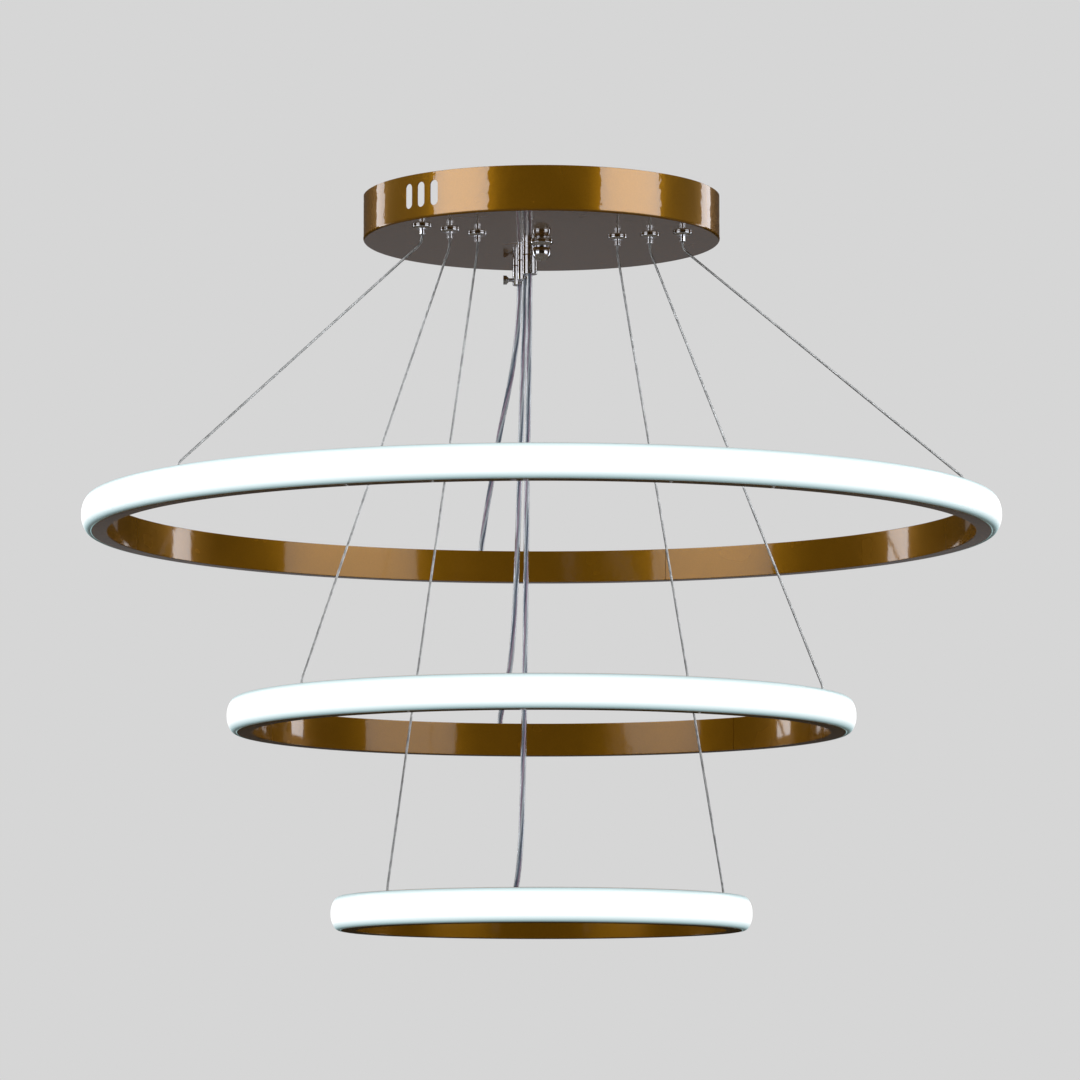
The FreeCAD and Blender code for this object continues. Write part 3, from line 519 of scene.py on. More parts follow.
def copy_to(piece: Piece, name: str, place: Matrix) -> Piece:
    """A copy with its own mesh, moved to a place that goes into the mesh.

    Args:
        piece: The pattern.
        name: The copy's name.
        place: Where the copy stands.

    Returns:
        The copy.
    """
    twin = piece.copy()
    twin.data = piece.data.copy()
    twin.name = name
    bpy.context.collection.objects.link(twin)
    put(twin, place)
    return twin


def remove(*pieces: Piece) -> None:
    """Delete helper pieces with their meshes."""
    for piece in pieces:
        mesh = piece.data
        bpy.data.objects.remove(piece)
        bpy.data.meshes.remove(mesh)


def arc(
    centre_r: float, centre_z: float, radius: float, start: float, end: float, steps: int
) -> Profile:
    """Points of an arc in a profile.

    Args:
        centre_r: The centre's distance from the axis.
        centre_z: The centre's height.
        radius: The arc's radius.
        start: The first angle in degrees, 0 outwards and 90 up.
        end: The last angle.
        steps: How many pieces the arc has.

    Returns:
        The points, both ends among them.
    """
    points = []
    for i in range(steps + 1):
        angle = math.radians(start + (end - start) * i / steps)
        points.append((centre_r + radius * math.cos(angle), centre_z + radius * math.sin(angle)))
    return points


def rounded(corners: Profile, radii: Sequence[float], steps: int) -> Profile:
    """The arcs that round an outline's inner corners.

    Args:
        corners: The outline's corners, with its two ends.
        radii: The radius at each corner between the ends.
        steps: How many pieces each arc has.

    Returns:
        The arcs' points, without the outline's ends.
    """
    points: Profile = []
    for before, corner, after, radius in zip(corners, corners[1:], corners[2:], radii):
        here = Vector(corner)
        back, ahead = (Vector(before) - here).normalized(), (Vector(after) - here).normalized()
        half_turn = (math.pi - back.angle(ahead)) / 2
        start = here + back * radius * math.tan(half_turn)
        centre = here + (back + ahead).normalized() * radius / math.cos(half_turn)
        spoke = start - centre
        turn = 2 * half_turn * (1 if back.cross(ahead) < 0 else -1)
        for i in range(steps + 1):
            point = centre + Matrix.Rotation(turn * i / steps, 2) @ spoke
            points.append((point.x, point.y))
    return points


def turned(
    name: str, profile: Profile, segments: int, ends: Ends = Ends.LOOP, soft: float = 0.0
) -> Piece:
    """A shape turned about the Z axis, made by extruding a circle from point to point of its profile.

    Args:
        name: The new object's name.
        profile: (radius, height) points in metres. For a LOOP the last joins the first.
        segments: How many sides the circle has.
        ends: LOOP closes the profile on itself, and CAPPED fills its two ends.
        soft: The angle in degrees below which edges are shaded smooth, or 0 for none.

    Returns:
        The object, at the origin, faces outwards.
    """
    deselect()
    radius, height = profile[0]
    bpy.ops.mesh.primitive_circle_add(
        vertices=segments,
        radius=radius,
        fill_type="NGON" if ends is Ends.CAPPED else "NOTHING",
        location=(0, 0, height),
    )
    piece = bpy.context.object
    piece.name = name
    bpy.ops.object.transform_apply(location=True)
    bpy.ops.object.mode_set(mode="EDIT")
    bpy.ops.mesh.select_mode(type="VERT")
    bpy.ops.mesh.select_all(action="SELECT")
    for next_radius, next_height in profile[1:] + ([profile[0]] if ends is Ends.LOOP else []):
        rise = (0, 0, next_height - height)
        bpy.ops.mesh.extrude_region_move(TRANSFORM_OT_translate={"value": rise})
        scale = next_radius / radius
        if abs(scale - 1) > 1e-9:
            centre = (0, 0, next_height)
            bpy.ops.transform.resize(value=(scale, scale, 1), center_override=centre)
        radius, height = next_radius, next_height
    bpy.ops.mesh.select_all(action="SELECT")
    bpy.ops.mesh.remove_doubles(threshold=1e-6)
    bpy.ops.mesh.normals_make_consistent(inside=False)
    bpy.ops.object.mode_set(mode="OBJECT")
    if soft:
        smooth(piece, soft)
    return piece


def bar(
    name: str, radius: float, length: float, sides: int, at: Point, tilt: float = 0.0
) -> Piece:
    """A round bar, used to cut or as a blank.

    Args:
        name: The new object's name.
        radius: Its radius.
        length: Its length.
        sides: How many sides it has.
        at: Its middle.
        tilt: How many degrees its axis is turned from Z about X.

    Returns:
        The bar, its place in its mesh.
    """
    deselect()
    bpy.ops.mesh.primitive_cylinder_add(
        vertices=sides,
        radius=radius,
        depth=length,
        location=at,
        rotation=(math.radians(tilt), 0, 0),
    )
    piece = bpy.context.object
    piece.name = name
    settle(piece)
    return piece


def shift(corner: Point, *by: float) -> Point:
    """A corner moved by some metres along each axis."""
    return tuple(a + b for a, b in zip(corner, by))


def brick(name: str, low: Point, high: Point) -> Piece:
    """A box between two corners, used to cut or as a blank.

    Args:
        name: The new object's name.
        low: Its corner with the lowest coordinates.
        high: The opposite corner.

    Returns:
        The box, its place in its mesh.
    """
    deselect()
    centre = [(a + b) / 2 for a, b in zip(low, high)]
    bpy.ops.mesh.primitive_cube_add(size=1, location=centre)
    piece = bpy.context.object
    piece.name = name
    piece.scale = [b - a for a, b in zip(low, high)]
    settle(piece)
    return piece


def subtract(piece: Piece, cutters: Sequence[Piece]) -> None:
    """Take cutters out of a piece and delete them.

    Args:
        piece: The piece to cut.
        cutters: The pieces that are taken out of it.
    """
    whole = join("cutters", cutters)
    apply_modifier(
        piece, "BOOLEAN", operation="DIFFERENCE", solver="EXACT", object=whole, use_self=True
    )
    remove(whole)


def select(piece: Piece, kind: str, wanted: Callable[[Any], bool]) -> None:
    """Go into edit mode with only some faces or points selected.

    Args:
        piece: The piece to edit.
        kind: "FACE" or "VERT".
        wanted: Whether a face or a point is selected.
    """
    activate(piece)
    bpy.ops.object.mode_set(mode="EDIT")
    bpy.ops.mesh.select_mode(type=kind)
    bpy.ops.mesh.select_all(action="DESELECT")
    bpy.ops.object.mode_set(mode="OBJECT")
    for part in piece.data.polygons if kind == "FACE" else piece.data.vertices:
        part.select = wanted(part)
    bpy.ops.object.mode_set(mode="EDIT")


def turned_about(angle: float, at: Point = (0, 0, 0)) -> Matrix:
    """The place of a piece turned about Z by some degrees and then moved."""
    return Matrix.Translation(at) @ Matrix.Rotation(math.radians(angle), 4, "Z")


def stand_for(piece: Piece, finish: Finish, body: str, *nodes: str) -> None:
    """Finish a piece, let it ride on a body and take the place of CAD nodes.

    Args:
        piece: The finished mesh.
        finish: Its finish.
        body: The CAD body that carries it.
        nodes: The CAD nodes that it replaces.
    """
    finish.give(piece)
    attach(piece, body)
    if nodes:
        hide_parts(*nodes)
    log.info("%s rides on %s, for %s", piece.name, body, ", ".join(nodes) or "no node")


# --------------------------------------------------------------- the canopy


@dataclass
class Canopy:
    """The pressed steel dish with its vents and line holes."""

    segments: int = 384
    edge: float = 0.0022
    lip: float = 0.0003
    stud_hole: float = 0.0036
    vent_width: float = 0.0095
    vent_height: float = 0.0245
    vent_rise: float = 0.0235
    vent_azimuth: float = 228.6
    vent_pitch: float = 5.35
    hole: float = 0.00515

    def dish(self) -> Piece:
        """The turned dish, open upwards, with its rounded lower edge."""
        radius, wall, low, lip = LAYOUT.canopy_radius, LAYOUT.canopy_wall, UNDERSIDE, self.lip
        centre = (radius - self.edge, low + self.edge)
        profile = [(self.stud_hole, low), (0.06, low), (0.12, low)]
        profile += arc(*centre, self.edge, -90, 0, 8)
        profile += [(radius, -lip), (radius - lip, 0.0)]
        profile += [(radius - wall + lip, 0.0), (radius - wall, -lip)]
        profile += arc(*centre, self.edge - wall, 0, -90, 5)
        profile += [(self.stud_hole, low + wall)]
        return turned("canopy_dish", profile, self.segments)

    def vent_cutter(self, azimuth: float) -> Piece:
        """A slot-shaped cutter through the rim at an azimuth."""
        deselect()
        bpy.ops.mesh.primitive_circle_add(
            vertices=32, radius=self.vent_width / 2, fill_type="NGON", rotation=(0, math.pi / 2, 0)
        )
        cutter = bpy.context.object
        bpy.ops.object.transform_apply(rotation=True)
        straight = (self.vent_height - self.vent_width) / 2
        for side in (-1, 1):
            select(cutter, "VERT", lambda point: point.co.z * side > 0)
            bpy.ops.transform.translate(value=(0, 0, straight * side))
        bpy.ops.mesh.select_mode(type="FACE")
        bpy.ops.mesh.select_all(action="SELECT")
        bpy.ops.mesh.extrude_region_move(TRANSFORM_OT_translate={"value": (0.012, 0, 0)})
        bpy.ops.mesh.select_all(action="SELECT")
        bpy.ops.mesh.normals_make_consistent(inside=False)
        bpy.ops.object.mode_set(mode="OBJECT")
        at = (LAYOUT.canopy_radius - 0.007, 0, self.vent_rise + UNDERSIDE)
        put(cutter, turned_about(azimuth) @ Matrix.Translation(at))
        return cutter

    def build(self) -> None:
        """Build the dish, cut it and put it on the canopy's body."""
        dish = self.dish()
        starts = (self.vent_azimuth, self.vent_azimuth - 180)
        steps = (-self.vent_pitch, 0, self.vent_pitch)
        subtract(dish, [self.vent_cutter(start + step) for start in starts for step in steps])
        places = [LAYOUT.outlet(side, ring, UNDERSIDE) for ring in Ring for side in Side]
        subtract(dish, [bar("line_hole", self.hole, 0.01, 32, at) for at in places])
        smooth(dish, 25)
        stand_for(dish, LACQUER, "canopy", "canopy_shell")


# ------------------------------------------------------- fittings of the canopy


def thread(
    radius: float, start: float, length: float, pitch: float = 0.001, depth: float = 0.0005
) -> Profile:
    """The profile of a thread's flanks, as grooves one pitch apart.

    Args:
        radius: The thread's outer radius.
        start: The height of its foot.
        length: Its length.
        pitch: The distance between its grooves.
        depth: How deep they are.

    Returns:
        The points, from the foot up.
    """
    points: Profile = []
    for turn in range(int(length / pitch)):
        foot = start + turn * pitch
        points += [(radius - depth, foot + 0.1 * pitch), (radius, foot + 0.5 * pitch)]
        points += [(radius, foot + 0.6 * pitch)]
    return points


@dataclass
class CanopyFittings:
    """The stud, and the washer and ball nut that hold the canopy up."""

    washer_height: float = 0.0048
    gap: float = 0.0002
    stud_end: float = 0.0076
    ball: float = 0.0092
    ball_drop: float = 0.0054
    bore: float = 0.00305

    def stud(self) -> None:
        """The threaded stud from the bracket down into the ball nut."""
        foot = UNDERSIDE - self.washer_height - self.gap - self.stud_end
        top = -0.0003
        profile = [(0.0022, foot), (0.0029, foot + 0.0007)]
        profile += thread(0.003, foot + 0.0008, top - foot - 0.002)
        profile += [(0.0029, top - 0.0006), (0.0022, top)]
        stud = turned("threaded_stud", profile, 32, Ends.CAPPED, 30)
        stand_for(stud, THREADED, "canopy", "centre_stud")

    def washer(self) -> None:
        """The dished washer under the canopy."""
        low = UNDERSIDE - self.washer_height
        profile = [(0.0033, low), (0.0074, low), (0.0077, low + 0.0002), (0.0112, low + 0.0030)]
        profile += arc(0.0107, low + 0.0038, 0.0008, -30, 60, 5)
        profile += [(0.0110, UNDERSIDE), (0.0033, UNDERSIDE)]
        washer = turned("dished_washer", profile, 72, soft=25)
        stand_for(washer, CHROME, "canopy", "finial_washer")

    def ball_nut(self) -> None:
        """The ball nut, flat on top and bored for the stud."""
        centre = UNDERSIDE - self.washer_height - self.gap - self.ball_drop
        top = math.degrees(math.asin(self.ball_drop / self.ball))
        profile = arc(0.0, centre, self.ball, -89.7, top, 34)
        rim, level = profile[-1]
        profile += [(rim - 0.0004, level), (0.0034, level), (self.bore, level - 0.0004)]
        profile += [(self.bore, level - 0.009), (0.0004, level - 0.0098)]
        ball = turned("chrome_ball_nut", profile, 64, Ends.CAPPED, 30)
        stand_for(ball, CHROME, "finial", "ball_nut")

    def build(self) -> None:
        """Build the fittings one by one."""
        self.stud()
        self.washer()
        self.ball_nut()


@dataclass
class HexNuts:
    """The chamfered hexagon nuts on the canopy's floor, and the stud's lock nut."""

    floor: float = LAYOUT.canopy_wall - LAYOUT.canopy_height
    lock_size: Point = (0.010, 0.005, 0.00305)
    lock_foot: float = -0.008
    floor_size: Point = (0.014, 0.003, 0.00505)

    def nut(self, name: str, across: float, thickness: float, bore: float) -> Piece:
        """A hexagon nut that stands on z = 0, chamfered at both faces.

        Args:
            name: The new object's name.
            across: The distance across its flats.
            thickness: Its height.
            bore: Its bore's radius.

        Returns:
            The nut, bored and chamfered.
        """
        corner = across / 2 / math.cos(math.pi / 6)
        blank = bar(name, corner, thickness, 6, (0, 0, thickness / 2))
        put(blank, Matrix.Rotation(math.pi / 6, 4, "Z"))
        face, drop = across / 2 * 0.97, (corner - across / 2 * 0.97) * 0.55
        shape = [(face, 0.0), (corner, drop), (corner, thickness - drop), (face, thickness)]
        limit = turned("nut_limit", shape, 64, Ends.CAPPED)
        apply_modifier(blank, "BOOLEAN", operation="INTERSECT", solver="EXACT", object=limit)
        remove(limit)
        subtract(blank, [bar("nut_bore", bore, thickness * 2, 32, (0, 0, thickness / 2))])
        smooth(blank, 25)
        return blank

    def build(self) -> None:
        """Build the two sizes of nut and set out the copies."""
        lock = self.nut("stud_nut", *self.lock_size)
        put(lock, Matrix.Translation((0, 0, self.lock_foot)))
        stand_for(lock, ZINC, "canopy", "stud_lock_nut")
        pattern = self.nut("floor_nut", *self.floor_size)
        places = [LAYOUT.outlet(side, ring, self.floor) for ring in Ring for side in Side]
        copies = [
            copy_to(pattern, "floor_nut", turned_about(17.0 * number, at))
            for number, at in enumerate(places)
        ]
        remove(pattern)
        stand_for(join("floor_nuts", copies), ZINC, "canopy", "inner_hex_nuts")


@dataclass
class Grippers:
    """The six cable grippers: chrome flange below, threaded barrel above, release nipple in the middle."""

    depth: float = 0.0032
    flange: float = 0.0093
    bore: float = 0.00305
    barrel: float = 0.005
    barrel_height: float = 0.0172
    cable_hole: float = 0.0017
    nipple: float = 0.0030
    nipple_bore: float = 0.00135
    nipple_head: float = 0.010875
    nipple_foot: float = -0.0533

    def flange_pattern(self) -> Piece:
        """A softly domed flange, below z = 0, with the spigot that screws in the barrel."""
        bore, low = self.bore, -self.depth
        profile = [(bore, low), (0.0053, low)]
        profile += arc(0.0054, low + 0.0026, 0.0026, -85, -62, 3)
        profile += arc(self.flange - 0.0011, low + 0.0021, 0.0011, -62, 0, 6)
        profile += [(self.flange, -0.0004)]
        profile += arc(self.flange - 0.0003, -0.0003, 0.0003, 0, 90, 3)
        profile += [(0.00405, 0.0), (0.00405, 0.0015), (bore, 0.0015)]
        return turned("gripper_flange", profile, 56, soft=30)

    def barrel_pattern(self) -> Piece:
        """A threaded barrel that stands on z = 0, with the cable's hole in its cap."""
        height, radius, hole = self.barrel_height, self.barrel, self.cable_hole
        profile = [(0.0041, 0.0), (0.0046, 0.0)] + thread(radius, 0.0002, 0.0152)
        profile += [(radius, height - 0.0012), (0.0046, height - 0.0003), (0.0042, height)]
        profile += [(hole, height), (hole, height - 0.002), (0.0041, height - 0.002)]
        return turned("gripper_barrel", profile, 36, soft=30)

    def plunger_pattern(self) -> Piece:
        """A release nipple with a rounded tip, whose head sits in the barrel; its foot is at z = 0."""
        bore, radius, head = self.nipple_bore, self.nipple, self.nipple_head
        profile = [(bore, 0.0004), (bore + 0.0004, 0.0), (radius - 0.0008, 0.0)]
        profile += arc(radius - 0.0007, 0.0007, 0.0007, -80, 0, 4)
        profile += [(radius, 0.0040), (radius - 0.0002, 0.0042), (radius - 0.0002, 0.0046)]
        profile += [(radius, 0.0048), (radius, head), (0.00395, head), (0.00395, head + 0.0014)]
        profile += [(bore, head + 0.0014)]
        return turned("release_nipple", profile, 40, soft=30)

    def build(self) -> None:
        """Set out the six of each."""
        flange, barrel = self.flange_pattern(), self.barrel_pattern()
        plunger = self.plunger_pattern()
        flanges, barrels = [], []
        for ring in Ring:
            for side in (Side.LEFT, Side.RIGHT):
                at = LAYOUT.outlet(side, ring, UNDERSIDE)
                flanges.append(copy_to(flange, "flange", Matrix.Translation(at)))
                barrels.append(copy_to(barrel, "barrel", Matrix.Translation(at)))
                foot = Matrix.Translation((at[0], at[1], self.nipple_foot))
                name = f"{ring.value}_{side.value}"
                nipple = copy_to(plunger, f"{name}_nipple", foot)
                stand_for(nipple, CHROME, f"{name}_release", f"{name}_plunger")
        remove(flange, barrel, plunger)
        stand_for(join("domed_flanges", flanges), CHROME, "canopy", "gripper_flanges")
        stand_for(join("threaded_barrels", barrels), THREADED, "canopy", "gripper_barrels")


@dataclass
class CordOutlets:
    """The three chrome outlets of the power cords, their thumb screws and the splice caps above."""

    length: float = 0.0196
    tube: float = 0.0075
    bore: float = 0.0029
    cap_rise: float = 0.0135
    screw_rise: float = 0.0056
    screw_neck: float = 0.0130
    screw_end: float = 0.0168
    knob: float = 0.0044

    def tube_pattern(self) -> Piece:
        """An outlet tube below z = 0 with its threaded nipple above."""
        bore, radius, low = self.bore, self.tube, -self.length
        profile = [(bore, low + 0.0003), (bore + 0.0004, low), (radius - 0.0009, low)]
        profile += arc(radius - 0.0008, low + 0.0008, 0.0008, -80, 0, 4)
        profile += [(radius, low + 0.0128), (radius - 0.0003, low + 0.0131)]
        profile += [(radius - 0.0003, low + 0.0135), (radius, low + 0.0138)]
        profile += arc(radius - 0.0006, -0.0006, 0.0006, 0, 80, 3)
        profile += [(radius - 0.0007, 0.0), (0.0046, 0.0)] + thread(0.005, 0.0002, 0.0118)
        profile += [(0.0049, 0.0128), (0.0045, 0.0132), (bore, 0.0132)]
        return turned("cord_outlet", profile, 56, soft=30)

    def screw_pattern(self) -> Piece:
        """A thumb screw along +X from the cord, its head knurled by pressing every second face in."""
        tip, neck, end = self.bore, self.screw_neck, self.screw_end
        profile = [(0.0016, tip), (0.002, tip + 0.0004)]
        profile += thread(0.002, tip + 0.0006, 0.0085, 0.0007, 0.0003)
        profile += [(0.002, neck - 0.0012), (0.0030, neck - 0.0012), (0.0032, neck - 0.0010)]
        shank = turned("screw_shank", profile + [(0.0032, neck)], 28, Ends.CAPPED)
        knob = bar("screw_head", self.knob, end - neck, 48, (0, 0, (neck + end) / 2))
        select(knob, "FACE", lambda face: abs(face.normal.z) < 0.5 and face.index % 2 == 0)
        bpy.ops.mesh.inset(thickness=0.00006, use_individual=True)
        bpy.ops.mesh.extrude_faces_move(TRANSFORM_OT_shrink_fatten={"value": 0.0002})
        bpy.ops.object.mode_set(mode="OBJECT")
        select(knob, "FACE", lambda face: face.normal.z > 0.9)
        bpy.ops.mesh.inset(thickness=0.0006)
        bpy.ops.mesh.inset(thickness=0.0008, depth=-0.0003)
        bpy.ops.object.mode_set(mode="OBJECT")
        bevel(knob, 0.00012, 2, 50)
        whole = join("thumb_screw", [shank, knob])
        put(whole, Matrix.Rotation(math.pi / 2, 4, "Y"))
        smooth(whole, 30)
        return whole

    def cap_pattern(self) -> Piece:
        """A closed-end splice cap that stands on z = 0, with its crimp pressed in."""
        profile = [(0.0029, 0.0), (0.0041, 0.0), (0.0044, 0.0003), (0.0044, 0.0035)]
        profile += [(0.0040, 0.0042), (0.0040, 0.0088), (0.0044, 0.0095), (0.0044, 0.0136)]
        profile += arc(0.0020, 0.0136, 0.0024, 0, 85, 6)
        profile += [(0.0009, 0.0160), (0.0009, 0.0110), (0.0029, 0.0110)]
        return turned("splice_cap", profile, 36, soft=35)

    def build(self) -> None:
        """Set out the three of each on the rear line."""
        outlet, screw, cap = self.tube_pattern(), self.screw_pattern(), self.cap_pattern()
        outlets, caps = [], []
        for ring in Ring:
            at = LAYOUT.outlet(Side.REAR, ring, UNDERSIDE)
            outlets.append(copy_to(outlet, "outlet", Matrix.Translation(at)))
            over = Matrix.Translation(shift(at, 0, 0, self.cap_rise))
            caps.append(copy_to(cap, "cap", over))
            level = (at[0], at[1], at[2] - self.length + self.screw_rise)
            place = turned_about(LAYOUT.screw_azimuth[ring], level)
            piece = copy_to(screw, f"{ring.value}_cord_thumb_screw", place)
            stand_for(piece, CHROME, f"{ring.value}_cord_screw", f"{ring.value}_thumb_screw")
        remove(outlet, screw, cap)
        stand_for(join("outlet_tubes", outlets), CHROME, "canopy", "cord_outlets")
        stand_for(join("splice_caps", caps), NYLON, "canopy", "cord_splice_caps")


# ------------------------------------------------------------ electrical parts


@dataclass
class Driver:
    """The LED driver on the canopy's floor: case, ribbed lid and its screws."""

    low: Point = (0.014, 0.036, -0.0428)
    size: Point = (0.118, 0.044, 0.025)
    wall: float = 0.0016
    lid: float = 0.002
    plug_gap: float = 0.00175
    grooves: int = 14
    screw_inset: float = 0.007
    slot_sizes: Profile = field(default_factory=lambda: [(0.0028, 0.0005), (0.0005, 0.0028)])

    def __post_init__(self) -> None:
        """Work out the case's upper corner and the lid's top."""
        self.high = shift(self.low, *self.size)
        self.top = self.high[2] + self.lid

    def case(self) -> None:
        """The case, rounded, with cooling grooves in its long sides."""
        x, y, z = self.low
        wall, rim = self.wall, self.high[2]
        blank = brick("driver_shell", self.low, self.high)
        inside = (shift(self.low, wall, wall, wall), shift(self.high, -wall, -wall, 0.002))
        subtract(blank, [brick("driver_hollow", *inside)])
        grooves = []
        for along in (x + 0.020 + step * 0.006 for step in range(self.grooves)):
            for side in (y, self.high[1]):
                low = (along, side - 0.0008, z + 0.006)
                grooves.append(brick("groove", low, (along + 0.002, side + 0.0008, rim - 0.005)))
        subtract(blank, grooves)
        bevel(blank, 0.0004, 2, 40)
        smooth(blank, 35)
        stand_for(blank, DRIVER_ABS, "canopy", "driver_case")

    def cover(self) -> None:
        """The lid with its raised rim and the plug that fits in the case."""
        (x, y, _), (far_x, far_y, rim), gap = self.low, self.high, self.plug_gap
        plate = brick("driver_plate", (x, y, rim), (far_x, far_y, self.top))
        select(plate, "FACE", lambda face: face.normal.z > 0.9)
        bpy.ops.mesh.inset(thickness=0.0025)
        bpy.ops.mesh.inset(thickness=0.0006, depth=-0.0005)
        bpy.ops.object.mode_set(mode="OBJECT")
        bevel(plate, 0.0003, 2, 40)
        corner = (far_x - gap, far_y - gap, rim + 0.0004)
        plug = brick("driver_plug", (x + gap, y + gap, rim - 0.002), corner)
        whole = join("driver_cover", [plate, plug])
        smooth(whole, 35)
        stand_for(whole, DRIVER_ABS, "canopy", "driver_lid")

    def screw(self, at: Point) -> Piece:
        """A cross-slotted pan head on the lid."""
        top = self.top
        profile = [(0.0022, top - 0.0011), (0.0021, top - 0.0010)]
        profile += arc(0.0009, top - 0.0010, 0.0012, 0, 80, 5)
        head = turned("screw", profile, 24, Ends.CAPPED)
        slots = [
            brick("slot", (-a / 2, -b / 2, top - 0.0005), (a / 2, b / 2, top + 0.002))
            for a, b in self.slot_sizes
        ]
        subtract(head, slots)
        put(head, Matrix.Translation(at))
        return head

    def build(self) -> None:
        """Build the case, the cover and its four screws."""
        self.case()
        self.cover()
        inset, (x, y, _) = self.screw_inset, self.low
        screws = [
            self.screw((x + across, y + deep, 0))
            for across in (inset, self.size[0] - inset)
            for deep in (inset, self.size[1] - inset)
        ]
        whole = join("driver_screws", screws)
        smooth(whole, 35)
        stand_for(whole, ZINC, "canopy")


@dataclass
class TerminalBlock:
    """The three-pole mains terminal block with its screws."""

    low: Point = (-0.108, 0.034, -0.0428)
    size: Point = (0.038, 0.018, 0.014)
    pitch: float = 0.011
    rows: tuple[float, float] = (0.0045, 0.0135)

    def build(self) -> None:
        """Build the body with its wire holes and screw wells, and the screws."""
        x, y, z = self.low
        high = shift(self.low, *self.size)
        top, middle = high[2], x + self.size[0] / 2
        poles = [middle - self.pitch, middle, middle + self.pitch]
        body = brick("terminal_body", self.low, high)
        cutters, screws = [], []
        for pole in poles:
            at = (pole, y + self.size[1] / 2, z + self.size[2] / 2)
            cutters.append(bar("wire_hole", 0.0024, 0.03, 28, at, 90))
            for deep in self.rows:
                cutters.append(bar("well", 0.0021, 0.008, 24, (pole, y + deep, top)))
        for seam in (pole + self.pitch / 2 for pole in poles[:2]):
            low = (seam - 0.0006, y - 0.001, top - 0.004)
            cutters.append(brick("seam", low, (seam + 0.0006, high[1] + 0.001, top + 0.001)))
        subtract(body, cutters)
        bevel(body, 0.0003, 2, 45)
        smooth(body, 35)
        stand_for(body, POLYAMIDE, "canopy", "terminal_block")
        for pole in poles:
            for deep in (y + row for row in self.rows):
                head = bar("pole_screw", 0.0019, 0.0016, 20, (pole, deep, top - 0.0024))
                low = (pole - 0.003, deep - 0.0003, top - 0.0020)
                subtract(head, [brick("slot", low, (pole + 0.003, deep + 0.0003, top))])
                bevel(head, 0.00012, 1, 50)
                screws.append(head)
        whole = join("terminal_screws", screws)
        smooth(whole, 35)
        stand_for(whole, ZINC, "canopy")


# -------------------------------------------------------------------- rings


